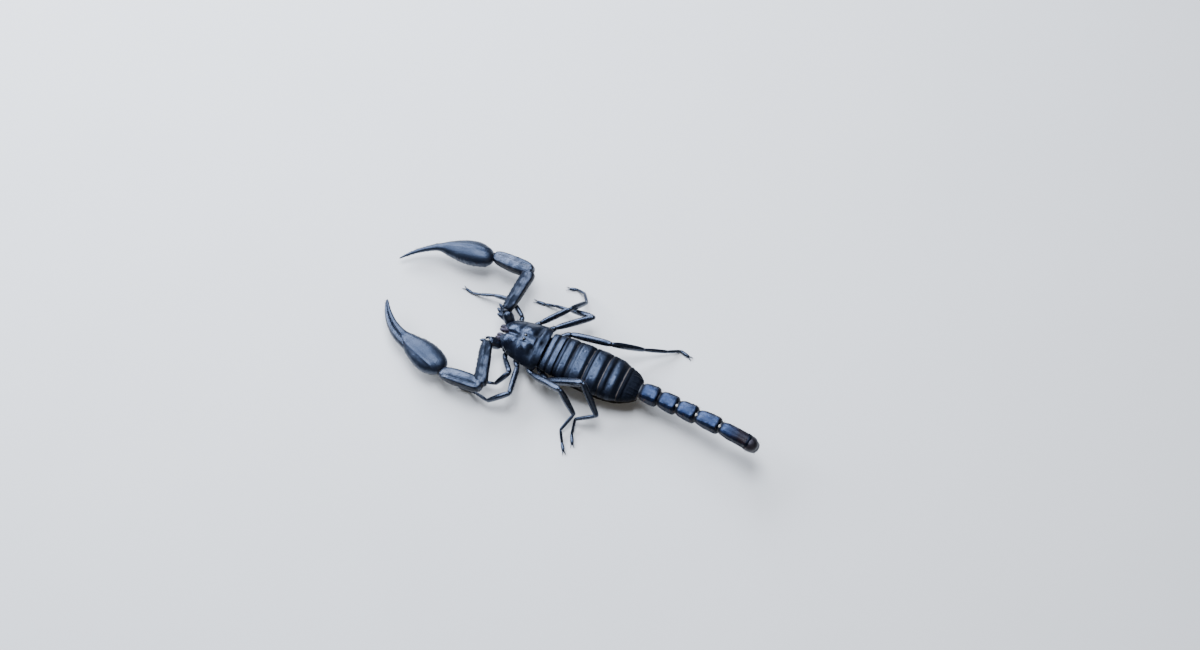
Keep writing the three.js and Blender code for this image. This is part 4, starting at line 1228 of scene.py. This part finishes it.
class SCORPION_OT_chelicerae(Draws, bpy.types.Operator):
    """Draws the two mouth claws, each a swollen base with a fixed and a hooked movable finger"""

    bl_idname = "scorpion.chelicerae"
    bl_label = "Mouth claws"

    def execute(self, context):
        for side, sign in SIDES.items():
            base, knuckle = np.array((sign * 1.62, -13.4, 6.9)), np.array((sign * 1.62, -17.2, 6.7))
            hand = draw_length(
                "hand", [(0, 2.3, 2.3), (0.6, 2.95, 2.95), (1.8, 3.1, 3.1), (3.1, 3.0, 2.9), (3.9, 2.0, 1.9)],
                section(20, 2.3), 2,
            )
            pieces = [lay(hand, [base, knuckle], sign)]
            for inward, reach, drop, thick in ((-0.6, 1.8, -0.5, 1.95), (0.68, 1.95, -0.7, 2.05)):
                line = spline([
                    knuckle + (sign * inward * 0.9, 0.7, 0),
                    knuckle + (sign * inward * 1.1, -reach * 0.45, drop * 0.2),
                    knuckle + (sign * inward * 0.8, -reach * 0.8, drop * 0.7),
                    knuckle + (sign * inward * 0.25, -reach, drop),
                ])
                long = line_length(line)
                finger = draw_length(
                    "finger",
                    stretched(((0, 1, 1), (0.4, 0.85, 0.95), (0.75, 0.55, 0.6)), long, thick, thick)
                    + [(long, 0.28, 0.3)],
                    section(14, 2.2), 2,
                )
                pieces.append(lay(finger, line, sign))
                for part in (0.5, 0.68):
                    spot = line[int(part * (len(line) - 1))]
                    pieces.append(draw_ball("tooth", spot - (sign * inward * 0.42, 0.0, 0.0),
                                            (0.2, 0.16, 0.16), 12))
            claw = unite(pieces, f"mouth_claw_{side}", 0.07)
            swell(claw, lambda p, n: 0.04 * grains(p, 0.4, 5) * smooth(n[:, 2], 0.1, 0.5))
            settle(claw, "mouth_claw_cuticle", [f"chelicera_{side}"], lie=(0, -1, -0.1))
        return {"FINISHED"}


class SCORPION_OT_leg_bases(Draws, bpy.types.Operator):
    """Draws the underside of the head: leg bases in pairs round the breast plate"""

    bl_idname = "scorpion.leg_bases"
    bl_label = "Leg bases"

    def execute(self, context):
        pieces = []
        for sign in SIDES.values():
            for index, (x, y, z) in enumerate(HIPS):
                inner = np.array((sign * 1.0, y + (-6.5 - y) * 0.55, 3.85))
                outer = np.array((sign * (x - 0.1), y - 0.3, z))
                width, long = 2.75 + 0.15 * index, span(inner, outer)
                base = draw_length(
                    "base", [(0, width * 0.5, 1.5), (0.6, width * 0.72, 1.8), (long * 0.6, width * 0.95, 2.4),
                             (long * 0.9, width, 2.5), (long, width * 0.7, 1.8)],
                    section(16, 2.6), 1,
                )
                pieces.append(lay(base, [inner, outer], sign))
            lobe = draw_length(
                "lobe", [(0, 1.6, 1.6), (1.2, 2.9, 2.4), (3.2, 3.6, 2.8), (4.6, 3.0, 2.6), (5.2, 1.6, 1.6)],
                section(16, 2.3), 1,
            )
            pieces.append(lay(lobe, [(sign * 1.3, -12.2, 4.6), (sign * 4.3, -16.0, 5.6)], sign))

        def block(s, t):
            y = -14.0 + 14.0 * t
            half = profile((-14, 4.3), (-9, 6.0), (-4, 6.5), (0, 6.1))(y)
            angle = s * np.pi
            across, down = half * boxy(np.sin(angle), 0.6), 1.15 * boxy(np.cos(angle), 0.6)
            return np.stack((across, y, 4.9 - down), axis=1)

        pieces.append(draw_sheet("block", 60, 40, block, closed=True))
        plate = draw_ball("breast", (0, -4.2, 3.45), (1.25, 2.3, 0.45), 24)
        pieces.append(plate)
        bases = unite(pieces, "leg_bases_and_breast", 0.14)
        swell(bases, lambda p, n: 0.04 * grains(p, 0.5, 9) * smooth(-n[:, 2], 0.2, 0.6))
        settle(bases, "leg_polished_cuticle", ["underside"], lie=(0, 1, 0))
        return {"FINISHED"}


class SCORPION_OT_claw_arms(Draws, bpy.types.Operator):
    """Draws the arms that carry the claws: a spurred first length, then two keeled ones"""

    bl_idname = "scorpion.claw_arms"
    bl_label = "Claw arms"

    def execute(self, context):
        size = sizes()
        proud = size.keel / MM
        for side, sign in SIDES.items():
            root, shoulder, elbow, wrist = pedipalp_joints(side)[:4]
            first = draw_length(
                "first", [(0, 2.6, 2.6), (0.9, 3.7, 3.4), (2.2, 4.1, 3.9), (4.4, 4.2, 4.0), (5.4, 3.2, 3.0),
                          (5.75, 2.0, 2.0)],
                section(20, 2.5), 2,
            )
            pieces = [lay(first, [part_way(root, shoulder, -0.15), shoulder], sign)]
            # Pointed knobs on its front, the longest first: where it starts and points to, reach, thickness.
            spur = CLAWS[side][1]
            for low, high, out, ahead, rise, thick in (
                (0.35, 0.75, 0.6, -spur, 0.3, 3.1), (0.25, 0.45, -0.7, -0.75 * spur - 1.0, 1.3, 3.1),
                (0.75, 1.0, 1.2, -0.6 * spur - 0.7, 1.0, 2.3), (0.55, 0.75, -0.2, -1.8, 2.2, 2.0),
                (0.2, 0.3, -0.3, -1.1, 2.4, 1.9),
            ):
                start = part_way(root, shoulder, low)
                tip = part_way(root, shoulder, high) + np.array((sign * out, ahead, rise))
                long = span(start, tip)
                knob = draw_length(
                    "knob",
                    stretched(((0, 1, 1), (0.6, 0.7, 0.7), (0.9, 0.4, 0.4)), long, thick, thick)
                    + [(long, 0.3, 0.3)],
                    section(12), 2,
                )
                pieces.append(lay(knob, [start, tip], sign))
            trochanter = unite(pieces, f"arm_first_{side}", 0.1)
            swell(trochanter, lambda p, n: 0.08 * grains(p, 0.6, 2) * smooth(n[:, 2], 0.0, 0.5))
            settle(
                trochanter, "arm_cuticle", [f"pedipalp_trochanter_{side}"],
                lie=unit(shoulder - root),
            )

            long = span(shoulder, elbow)
            femur = draw_length(
                f"arm_upper_{side}",
                [(0.1, 2.7, 2.5), (0.7, 3.4, 3.0), (1.9, 3.95, 3.5), (long * 0.3, 4.4, 3.8),
                 (long * 0.5, 4.6, 3.9),
                 (long * 0.72, 4.85, 4.0), (long * 0.88, 5.0, 4.1), (long * 0.96, 4.5, 3.7),
                 (long * 1.01, 3.2, 2.7)],
                section(24, 3.1), 3,
            )

            def femur_relief(p, n):
                z = p[:, 2]
                body = between(z, 1.0, 2.4, long - 1.6, long - 0.6)
                rough = 0.55 + 0.75 * grains(p * (0.4, 0.4, 1), 0.62, 11)
                corners = ((2.0, 1.75), (-2.0, 1.75), (-2.05, -1.7), (2.0, -1.7))
                edges = sum(keel(p, x, y, 0.42) for x, y in corners)
                hollow = -0.2 * bump(p[:, 0] - 0.4, 0.8) * smooth(p[:, 1], 1.0, 1.6)
                front = 0.3 * grains(p, 0.95, 13) * smooth(-n[:, 0], 0.6, 0.9)
                fine = 0.06 * grains(p, 0.42, 4) + 0.09 * swells(p, 1.5, 14)
                return body * (proud * edges * rough + hollow + front) + fine

            swell(femur, femur_relief)
            # Painted shade: the femur is darkened and dulled a little all over and strongly towards its
            # sides, leaving a bright band along its middle, with random mottling.
            darken(
                femur, lambda p: 0.3 + 0.8 * smooth(np.abs(p[:, 0] - 0.3), 0.9, 1.7)
                + 0.8 * smooth(swells(p, 1.7, 74), -0.2, 0.5),
            )
            lay(femur, [shoulder, elbow], sign)
            settle(femur, "arm_cuticle", [f"pedipalp_femur_{side}"],
                   lie=unit(elbow - shoulder))

            start = part_way(elbow, wrist, -0.06)
            long = span(start, wrist)
            patella = draw_length(
                f"arm_middle_{side}",
                [(0.0, 2.9, 2.4), (0.5, 4.0, 3.4), (1.6, 5.0, 4.2, 0.25), (long * 0.27, 5.85, 4.6, 0.1),
                 (long * 0.5, 5.9, 4.7), (long * 0.74, 5.6, 4.5), (long * 0.88, 4.9, 4.0),
                 (long * 0.97, 3.9, 3.1),
                 (long, 2.9, 2.4)],
                section(24, 2.9), 3,
            )

            def patella_relief(p, n):
                z = p[:, 2]
                body = between(z, 0.8, 2.6, long - 2.0, long - 0.8)
                rough = 0.6 + 0.6 * grains(p * (0.4, 0.4, 1), 0.6, 17)
                corners = ((2.45, 1.95), (-2.4, 1.95), (-2.5, -1.9), (2.5, -1.8))
                edges = sum(keel(p, x, y, 0.45) for x, y in corners)
                outer = 0.6 * keel(p, 2.9, 0.1, 0.4)
                tooth = 0.75 * bump(z - 3.0, 0.8) * keel(p, -2.9, 0.4, 0.75)
                hollow = -0.2 * bump(p[:, 0] - 1.1, 0.7) * smooth(p[:, 1], 1.2, 1.9)
                fine = 0.06 * net(p, 0.62, 6) + 0.08 * swells(p, 1.7, 18)
                return body * (proud * (edges + outer) * rough + hollow + tooth) + fine

            swell(patella, patella_relief)
            # Painted shade: the patella's sides are darkened and dulled, leaving a bright band along its
            # middle, with random mottling.
            darken(
                patella, lambda p: 0.9 * smooth(np.abs(p[:, 0] - 0.2), 1.6, 2.4)
                + 0.5 * smooth(swells(p, 1.7, 75), 0.1, 0.6),
            )
            lay(patella, [start, wrist], sign)
            settle(patella, "arm_cuticle", [f"pedipalp_patella_{side}"],
                   lie=unit(wrist - elbow))

            # Soft rings fill the joints: place, axis, width.
            rings = []
            for name, joint, before, after, width in (
                ("a", shoulder, root, elbow, 2.7), ("b", elbow, shoulder, wrist, 2.9),
                ("c", wrist, elbow, pedipalp_joints(side)[4], 2.6),
            ):
                line = [part_way(joint, before, 0.05), joint, part_way(joint, after, 0.05)]
                long = line_length(line)
                ring = draw_length(
                    name, stretched(ARM_JOINT_RING, long, width, width), section(20, 2.3), 2,
                )
                swell(ring, lambda p, n: 0.08 * np.sin(p[:, 2] * 2 * np.pi / 0.4))
                rings.append(lay(ring, line, sign))
            # The left shoulder's ring is pale skin, partly a painted highlight of the whitish glint at the
            # femur's base.
            if side == "left":
                shoulder_glint_skin = unite(rings[:1], f"arm_shoulder_skin_{side}")
                settle(shoulder_glint_skin, "stretched_membrane")
                rings = rings[1:]
            settle(unite(rings, f"arm_joint_skins_{side}"), "joint_membrane")
        return {"FINISHED"}


class SCORPION_OT_claws(Draws, bpy.types.Operator):
    """Draws the claws: a swollen netted hand that runs into the fixed finger, and the movable finger"""

    bl_idname = "scorpion.claws"
    bl_label = "Claws"

    def execute(self, context):
        size = sizes()
        for side, sign in SIDES.items():
            _, _, _, wrist, knuckle, tip = pedipalp_joints(side)
            breadth, _, fixed, movable = CLAWS[side]
            (hand_turn, _), (finger_turn, _) = PEDIPALP_POSES[side][3:5]
            inward = direction(sign, hand_turn - 90, 0)
            inwards = direction(sign, finger_turn - 90, 0)

            def along_hand(t):
                middle = part_way(wrist, knuckle, 0.5) + (sign * 0.9, 0, 0.2)
                return (1 - t) ** 2 * wrist + 2 * t * (1 - t) * middle + t * t * knuckle

            def along_finger(t, sideways, bow, lift):
                start, end = knuckle + inwards * sideways + UP * lift, tip + inwards * sideways * 0.12
                middle = part_way(knuckle, tip, 0.5) + inwards * (sideways - bow) + UP * lift
                return (1 - t) ** 2 * start + 2 * t * (1 - t) * middle + t * t * end

            palm_line = ((0.18, 1.05), (0.38, 1.1), (0.6, 1.1), (0.8, 1.0))
            line = spline([
                wrist, *(along_hand(t) + inward * aside for t, aside in palm_line),
                *(along_finger(t, *fixed[:3]) for t in (0.12, 0.3, 0.5, 0.75, 1.0)),
            ])
            long = line_length(line)
            palm = line_length(line[: 4 * SPLINE_STEPS + 1]) / 0.8
            beyond = long - palm
            b, (wide, high) = HAND_BREADTH * breadth, fixed[3:]
            few = stretched(PALM_SHAPE, palm, b, 1) + [
                (palm + beyond * 0.03, b * 0.38, 3.4), (palm + beyond * 0.1, wide * 1.45, high * 1.3),
                (palm + beyond * 0.22, wide * 1.14, high * 1.1), (long, *FINGER_TIP),
            ]
            few += [(palm + beyond * t, wide * part * 1.06, high * part * 1.06) for t, part in FINGER_TAPER]
            few.sort()
            stations = resample(few, 44)
            hand = draw_length(f"claw_hand_{side}", stations, section(28, 2.3), 3)

            def hand_relief(p, n):
                x, z = p[:, 0], p[:, 2]
                base = smooth(z, 0.4, 1.6)
                manus = base * (1 - smooth(z, palm - 2.0, palm + 1.5))
                netted = 0.012 * net(p * (1, 1, 0.8), 0.75, 21) * manus
                beads = 0.25 * size.grain_height / MM * grains(p, size.grain / MM, 22) * base
                scallops = 0.16 * grains(p * (0.2, 0.35, 1), 0.95, 23)
                scallops = scallops * manus * smooth(-n[:, 0], 0.68, 0.92)
                ridge = 0.12 * bump(x - 0.24 * b + 0.05 * z, 0.45) * smooth(n[:, 1], 0.2, 0.6) * manus
                second = 0.05 * bump(x - 0.02 * b, 0.5) * smooth(n[:, 1], 0.3, 0.7) * manus
                dents = 0.04 * swells(p, 2.2, 26) * manus
                teeth = 0.22 * grains(p * (0, 0, 1), 0.55, 24)
                teeth = teeth * smooth(n[:, 0], 0.75, 0.95) * smooth(z, palm + 1.0, palm + 2.5)
                teeth = teeth * (1 - smooth(z, long - 2, long))
                return netted + beads + scallops + ridge + second + dents + teeth

            swell(hand, hand_relief)
            lay(hand, line, sign)
            settle(
                hand, "claw_netted_cuticle", [f"pedipalp_hand_{side}"],
                lie=unit(knuckle - wrist),
            )

            line = [along_finger(t, *movable[:3]) for t in np.linspace(0, 1, 60)]
            long = line_length(line)
            wide, high = movable[3:]
            few = stretched(
                ((-4.6, 0.4, 0.5), (-3.8, 0.72, 0.8), (-2.4, 0.96, 1.02), (-0.6, 1.03, 1.06)), 1, wide, high
            )
            few += [(long * 0.12, wide * 1.01, high * 1.02)]
            few += [(long * t, wide * part, high * part) for t, part in FINGER_TAPER] + [(long, *FINGER_TIP)]
            finger = draw_length(f"claw_finger_{side}", resample(few, 26), section(20, 2.2), 3)

            def finger_relief(p, n):
                z = p[:, 2]
                teeth = 0.22 * grains(p * (0, 0, 1), 0.55, 31)
                teeth = teeth * smooth(-n[:, 0], 0.75, 0.95) * smooth(z, 1.5, 3.0)
                ridge = 0.16 * bump(p[:, 0] - 0.5, 0.25) * smooth(n[:, 1], 0.4, 0.8)
                ridge = ridge * (1 - smooth(z, 4, long * 0.8))
                fine = 0.03 * grains(p, 0.45, 32) * (1 - smooth(z, long * 0.5, long * 0.8))
                dents = 0.03 * swells(p, 1.6, 33) * (1 - smooth(z, long * 0.6, long))
                return (teeth + ridge) * (1 - smooth(z, long - 2, long)) + fine + dents

            swell(finger, finger_relief)
            lay(finger, line, sign)
            settle(
                finger, "arm_cuticle", [f"pedipalp_movable_finger_{side}"],
                lie=unit(tip - knuckle),
            )
        return {"FINISHED"}


class SCORPION_OT_legs(Draws, bpy.types.Operator):
    """Draws the eight walking legs, each of six lengths that end in a pair of claws"""

    bl_idname = "scorpion.legs"
    bl_label = "Legs"

    def execute(self, context):
        # Each length's stations, as parts of the femur's depth: part of the length, width, height.
        shapes = (
            ((-0.12, 0.5, 0.6), (0.1, 0.76, 0.86), (0.55, 0.86, 0.98), (0.95, 0.74, 0.84), (1.08, 0.5, 0.6)),
            ((-0.02, 0.4, 0.5), (0.04, 0.56, 0.74), (0.2, 0.7, 1.0), (0.55, 0.7, 1.06), (0.86, 0.68, 1.02),
             (0.97, 0.56, 0.8), (1.03, 0.38, 0.5)),
            ((-0.04, 0.36, 0.48), (0.04, 0.52, 0.7), (0.22, 0.66, 0.94), (0.6, 0.62, 0.88),
             (0.92, 0.52, 0.72),
             (1.0, 0.44, 0.56), (1.03, 0.3, 0.36)),
            ((-0.05, 0.32, 0.38), (0.04, 0.42, 0.5), (0.35, 0.52, 0.63), (0.85, 0.46, 0.54),
             (0.98, 0.42, 0.5),
             (1.04, 0.28, 0.34)),
            ((-0.06, 0.28, 0.32), (0.06, 0.38, 0.44), (0.5, 0.4, 0.46), (0.92, 0.38, 0.44),
             (1.04, 0.24, 0.3)),
            ((-0.08, 0.3, 0.32), (0.08, 0.42, 0.44), (0.5, 0.5, 0.54), (0.88, 0.42, 0.46), (1.0, 0.24, 0.28)),
        )
        for side, sign in SIDES.items():
            for index in range(4):
                depth = LEG_THICKNESS[index]
                joints = leg_joints(side, index)
                lengths = []
                for number, shape in enumerate(shapes):
                    start, end = joints[number], joints[number + 1]
                    long = span(start, end)
                    broad = depth * 1.1 * (LEG_BREADTH[side][index] if number in (1, 2) else 1)
                    piece = draw_length(
                        "length", stretched(shape, long, broad, depth * 1.09),
                        section(12, 2.4 if number in (1, 2) else 2.2), 2,
                    )
                    if number in (1, 2):
                        swell(
                            piece, lambda p, n: 0.09 * bump(p[:, 1] - 0.36 * depth, 0.16)
                            + 0.05 * grains(p, 0.4, 41) * smooth(np.abs(p[:, 1]), 0.3 * depth, 0.45 * depth),
                        )
                    lengths.append(lay(piece, [start, end], sign))
                toe = joints[6]
                turn = LEG_POSES[side][index][0][5]
                ahead, aside = direction(sign, turn, 0), direction(sign, turn + 90, 0)
                for apart in (1, -1):
                    line = spline([
                        toe - ahead * 0.35 + aside * 0.2 * apart,
                        toe + ahead * 0.35 + aside * 0.42 * apart + UP * 0.12,
                        toe + ahead * 0.95 + aside * 0.6 * apart + UP * 0.02,
                        toe + ahead * 1.3 + aside * 0.62 * apart - UP * 0.22,
                    ])
                    long = line_length(line)
                    claw = draw_length(
                        "claw",
                        stretched(FOOT_CLAW_SHAPE, long, 1, 1),
                        section(8), 1,
                    )
                    lengths.append(lay(claw, line, sign))
                # Spurs under the ends of the last lengths: joint, how far out and down.
                for joint, spread, drop in ((4, 0.5, 0.5), (4, -0.5, 0.5), (5, 0.55, 0.3), (5, -0.55, 0.3)):
                    run = unit(joints[joint] - joints[joint - 1])
                    start = joints[joint] - run * 0.25
                    spur_tip = start + run * 0.75 + aside * spread - UP * min(drop, max(start[2] - 0.12, 0.0))
                    spur = draw_length("spur", [(0, 0.3, 0.3), (0.5, 0.2, 0.2), (0.95, 0.05, 0.05)],
                                       section(8), 1)
                    lengths.append(lay(spur, [start, spur_tip], sign))
                skin = "leg_polished_cuticle"
                upper = unite(lengths[:2], f"leg_{index + 1}_thigh_{side}")
                settle(upper, skin, [f"leg_{index + 1}_upper_{side}"],
                       lie=unit(joints[2] - joints[0]))
                lower = unite(lengths[2:], f"leg_{index + 1}_shin_{side}")
                settle(lower, skin, [f"leg_{index + 1}_lower_{side}"],
                       lie=unit(joints[5] - joints[2]))
        return {"FINISHED"}


class SCORPION_OT_tail(Draws, bpy.types.Operator):
    """Draws the tail's five rings with their keels, and the soft skin in their joints"""

    bl_idname = "scorpion.tail"
    bl_label = "Tail"

    def execute(self, context):
        size = sizes()
        joints = tail_joints()
        for index, (_, width, height, _, _) in enumerate(TAIL):
            start, end = joints[index], joints[index + 1]
            long = span(start, end)
            last = index == 4
            body, rear = (LAST_RING_BODY, LAST_RING_REAR) if last else (RING_BODY, RING_REAR)
            stations = stretched(RING_FRONT, 1, width, height) + stretched(body, long, width, height)
            stations += [(long - ahead, w * width, h * height) for ahead, w, h in rear]
            ring = draw_length(f"tail_ring_{index + 1}", stations, section(26, 2.5), 3)

            def relief(p, n):
                x, z = np.abs(p[:, 0]), p[:, 2]
                half = np.stack((x, p[:, 1], z), axis=1)  # both sides have the same keels
                body = between(z, 0.7, 1.6, long - 1.1, long - 0.5)
                rough = 0.5 + 0.8 * grains(half * (0.3, 0.3, 1), 0.6, 51 + index)
                top = 0.42 * bump(x - 0.3 * width, 0.34) * smooth(n[:, 1], 0.4, 0.8) * (0.35 if last else 1.0)
                edges = 0.7 * keel(half, 0.43 * width, 0.33 * height, 0.4)
                side = 0.6 * keel(half, 0.5 * width, 0.02, 0.3)
                under = bump(x - 0.2 * width, 0.26) * smooth(-n[:, 1], 0.4, 0.8)
                middle = bump(x, 0.26) * smooth(-n[:, 1], 0.5, 0.8) * (1.0 if last else 0.0)
                tooth = 1.0 + 0.9 * smooth(z, long * 0.6, long * 0.85)
                hollow = -0.12 * bump(x, 0.12 * width) * smooth(n[:, 1], 0.3, 0.8)
                fine = 0.03 * grains(p, 0.42, 57) + 0.05 * swells(p, 1.7, 58)
                ridges = size.keel / MM * rough * (top * tooth + edges + side + under + middle)
                return body * (ridges + hollow) + fine

            # Painted shade: each ring is darkened and dulled at both ends by its joints and along its sides,
            # with random mottling.
            def dull(p):
                x, z = np.abs(p[:, 0]), p[:, 2]
                ends = 1 - between(z, 0.7, 1.7, long - 1.5, long - 0.6)
                sides = 0.8 * smooth(x, 0.3 * width, 0.42 * width)
                return ends + sides + 0.7 * smooth(swells(p, 2.0, 76), 0.1, 0.7)

            swell(ring, relief)
            darken(ring, dull)
            lay(ring, [start, end], 1)
            settle(ring, "tail_cuticle", [f"tail_{index + 1}"], lie=unit(end - start))

        skins = []
        for index in range(5):
            joint, after = joints[index], joints[index + 1]
            before = joints[index - 1] if index else joint - (after - joint)
            width, height = TAIL[index][1], TAIL[index][2]
            line = [part_way(joint, before, 0.09), joint, part_way(joint, after, 0.09)]
            long = line_length(line)
            skin = draw_length(
                "skin", stretched(TAIL_JOINT_RING, long, width, height), section(24, 2.6), 2,
            )
            swell(skin, lambda p, n: 0.06 * np.sin(p[:, 2] * 2 * np.pi / 0.3))
            skins.append(lay(skin, line, 1))
        settle(unite(skins, "tail_joint_skins"), "joint_membrane")
        # Pale pads on three of the tail's joints: pale skin, partly a painted highlight of the white wet
        # glints there.
        glint_pads = []
        for index in (2, 3, 4):
            across = np.array((0.5, -0.25, 0.42 * TAIL[index][2]))
            glint_pads.append(draw_ball("pad", joints[index] + across, (0.6, 0.45, 0.36), 20))
            swell(glint_pads[-1], lambda p, n: 0.05 * np.sin(p[:, 1] * 2 * np.pi / 0.35))
        settle(unite(glint_pads, "tail_joint_pads"), "stretched_membrane")
        return {"FINISHED"}


class SCORPION_OT_sting(Draws, bpy.types.Operator):
    """Draws the sting: a pear-shaped bulb folded forward under the tail, and its curved point"""

    bl_idname = "scorpion.sting"
    bl_label = "Sting"

    def execute(self, context):
        joints = tail_joints()
        hinge = joints[-1]
        back = hinge - joints[-2]
        back[2] = 0
        back = unit(back)

        def place(rearwards, leftwards, upwards):
            return hinge + back * rearwards + np.array((leftwards, 0, upwards))

        line = spline([
            place(0.3, -0.1, -0.5), place(1.0, -0.5, -2.4), place(-0.9, -1.0, -5.0), place(-4.6, -1.3, -6.3),
            place(-7.8, -1.5, -6.5), place(-10.4, -1.6, -5.2),
        ])
        long = line_length(line)
        stations = stretched(STING_SHAPE, long, TELSON_WIDTH, 1) + [(long, 0.12, 0.12)]
        sting = draw_length("sting_bulb_and_point", stations, section(24, 2.1), 3)

        def relief(p, n):
            x, z = np.abs(p[:, 0]), p[:, 2]
            bulb = between(z, 1.0, 2.5, long * 0.5, long * 0.62)
            rows = sum(bump(x - at, 0.28) for at in (0.55, 1.5)) * smooth(-n[:, 1], 0.2, 0.6)
            return bulb * 0.14 * rows * (0.4 + 0.8 * grains(p, 0.6, 61))

        swell(sting, relief)
        side = unit(np.cross(UP, -back))
        lay(sting, line, 1, side=side)
        root = draw_ball("root", place(-0.2, -0.02, -0.4), (2.8, 2.8, 2.25), 40)
        sting = unite([sting, root], "sting_bulb_and_point", 0.1)
        face_outwards(sting)
        settle(sting, "sting_cuticle", ["telson"], lie=-back)
        return {"FINISHED"}


TILES = 4  # on the bristles' bake map, each piece has its own square of this many by this many
ROOT_REACH = 0.5  # mm along a piece that count as much as a wrong facing when a root is chosen


class SCORPION_OT_bristles(Draws, bpy.types.Operator):
    """Draws the sparse bristles, each a thin bent horn with its root in the shell"""

    bl_idname = "scorpion.bristles"
    bl_label = "Bristles"

    def execute(self, context):
        size = sizes()
        draws = np.random.default_rng(size.seed)
        deselect()
        bpy.ops.mesh.primitive_cone_add(vertices=3, radius1=0.5, radius2=0.32, depth=0.5,
                                        location=(0, 0, 0.25))
        horn = take("horn")
        bpy.ops.object.transform_apply(location=True)
        horn.data.polygons.foreach_set("select", [face.normal.z > 0.9 for face in horn.data.polygons])
        horn.data.vertices.foreach_set("select", [False] * 6)
        horn.data.edges.foreach_set("select", [False] * 9)
        bpy.ops.object.mode_set(mode="EDIT")
        bpy.ops.mesh.select_mode(type="FACE")
        bpy.ops.mesh.poke(offset=0.5)
        bpy.ops.object.mode_set(mode="OBJECT")
        shape = points_of(horn)
        faces = [tuple(face.vertices) for face in horn.data.polygons]
        bpy.data.objects.remove(horn)

        low, high = (np.array(corner) for corner in CAD_BOX)
        # Where, bristles on each piece, their length and thickness against the panel's, and their lean.
        for name, starts, count, long, thick, lean in (
            ("bristles_legs", ("leg_1", "leg_2", "leg_3", "leg_4"), 70, 0.85, 0.8, 0.9),
            ("bristles_arms", ("arm_",), 60, 0.8, 1.0, 0.5),
            ("bristles_claws", ("claw_",), 130, 0.85, 1.0, 0.4),
            ("bristles_tail", ("tail_ring", "sting"), 60, 0.9, 1.0, 0.4),
            ("bristles_mouth", ("mouth_claw",), 90, 0.45, 0.7, 1.2),
        ):
            points, places = [], []
            pieces = sorted(
                (o for o in bpy.data.objects if o.name.startswith(starts) and "lie" in o),
                key=lambda o: o.name
            )
            for cell, piece in enumerate(pieces):
                spots, normals = points_of(piece), normals_of(piece)
                lie = np.array(piece["lie"])
                middle, reach = spots.mean(axis=0), spots @ lie
                side = unit(np.cross(lie, UP + 0.01))
                ranked = np.sort(reach)
                for _ in range(count):
                    # Blender may number a mesh's points differently in each run, so a root is chosen by how
                    # far along its piece it lies and which way it faces, never by its number.
                    level, facing = ranked[int(draws.random() * len(ranked))], unit(draws.normal(0, 1, 3))
                    pick = int(np.argmin(((reach - level) / (ROOT_REACH * MM)) ** 2 - 2 * normals @ facing))
                    root, out = spots[pick], normals[pick]
                    axis = unit(out + lie * (0.5 * lean) + draws.normal(0, 0.18, 3))
                    across = unit(np.cross(axis, lie + 0.01))
                    down = np.cross(axis, across)
                    tall = size.bristle * long * draws.uniform(0.55, 1.15)
                    wide = size.bristle_root * thick
                    x, y, z = shape.T[:, :, None]
                    hair = root - out * 0.04 * MM + across * x * wide + down * y * wide
                    hair = hair + axis * z * tall + lie * z**2 * tall * 0.4 * lean
                    if (hair < low).any() or (hair > high).any():
                        continue
                    round_part = math.atan2((root - middle) @ np.cross(lie, side), (root - middle) @ side)
                    along = (reach[pick] - reach.min()) / max(np.ptp(reach), 1e-9)
                    spot = np.array((
                        (cell % TILES + 0.05 + 0.9 * (round_part / (2 * math.pi) + 0.5)) / TILES,
                        (cell // TILES + 0.05 + 0.9 * along) / TILES,
                    ))
                    points.append(hair)
                    places.append(spot + np.stack((shape[:, 0], shape[:, 2] - 0.5), axis=1) * 0.003)
            mesh = bpy.data.meshes.new(name)
            all_faces = [
                tuple(len(shape) * k + v for v in face) for k in range(len(points)) for face in faces
            ]
            mesh.from_pydata(np.concatenate(points), [], all_faces)
            unwrap = mesh.uv_layers.new(name="OFBake")
            loops = np.empty(len(mesh.loops), dtype=int)
            mesh.loops.foreach_get("vertex_index", loops)
            unwrap.data.foreach_set("uv", np.concatenate(places)[loops].ravel())
            bristles = bpy.data.objects.new(name, mesh)
            context.collection.objects.link(bristles)
            mesh.materials.append(finish("bristle_horn"))
            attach(bristles, "root")
        return {"FINISHED"}


class SCORPION_PT_panel(bpy.types.Panel):
    """Lists the scorpion's pieces, sizes and colours"""

    bl_idname = "SCORPION_PT_panel"
    bl_label = "Forest scorpion"
    bl_space_type = "VIEW_3D"
    bl_region_type = "UI"
    bl_category = "Scorpion"

    def draw(self, context):
        for operator in OPERATORS:
            self.layout.operator(operator.bl_idname)
        for group in (context.scene.scorpion_sizes, context.scene.scorpion_colours):
            box = self.layout.box()
            for name in group.bl_rna.properties.keys():
                if name not in {"rna_type", "name"}:
                    box.prop(group, name)


OPERATORS = (
    SCORPION_OT_stage, SCORPION_OT_soft_body, SCORPION_OT_belly_plates, SCORPION_OT_leg_bases,
    SCORPION_OT_back_plates, SCORPION_OT_carapace, SCORPION_OT_eyes, SCORPION_OT_chelicerae,
    SCORPION_OT_claw_arms, SCORPION_OT_claws, SCORPION_OT_legs, SCORPION_OT_tail, SCORPION_OT_sting,
    SCORPION_OT_bristles,
)
CLASSES = (ScorpionSizes, ScorpionColours, *OPERATORS, SCORPION_PT_panel)


def register():
    for each in CLASSES:
        bpy.utils.register_class(each)
    bpy.types.Scene.scorpion_sizes = PointerProperty(type=ScorpionSizes)
    bpy.types.Scene.scorpion_colours = PointerProperty(type=ScorpionColours)


def unregister():
    del bpy.types.Scene.scorpion_colours
    del bpy.types.Scene.scorpion_sizes
    for each in reversed(CLASSES):
        bpy.utils.unregister_class(each)


def main():
    """Registers the add-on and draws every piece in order."""
    register()
    for operator in OPERATORS:
        getattr(bpy.ops.scorpion, operator.bl_idname.split(".")[1])()


if __name__ == "__main__":
    main()
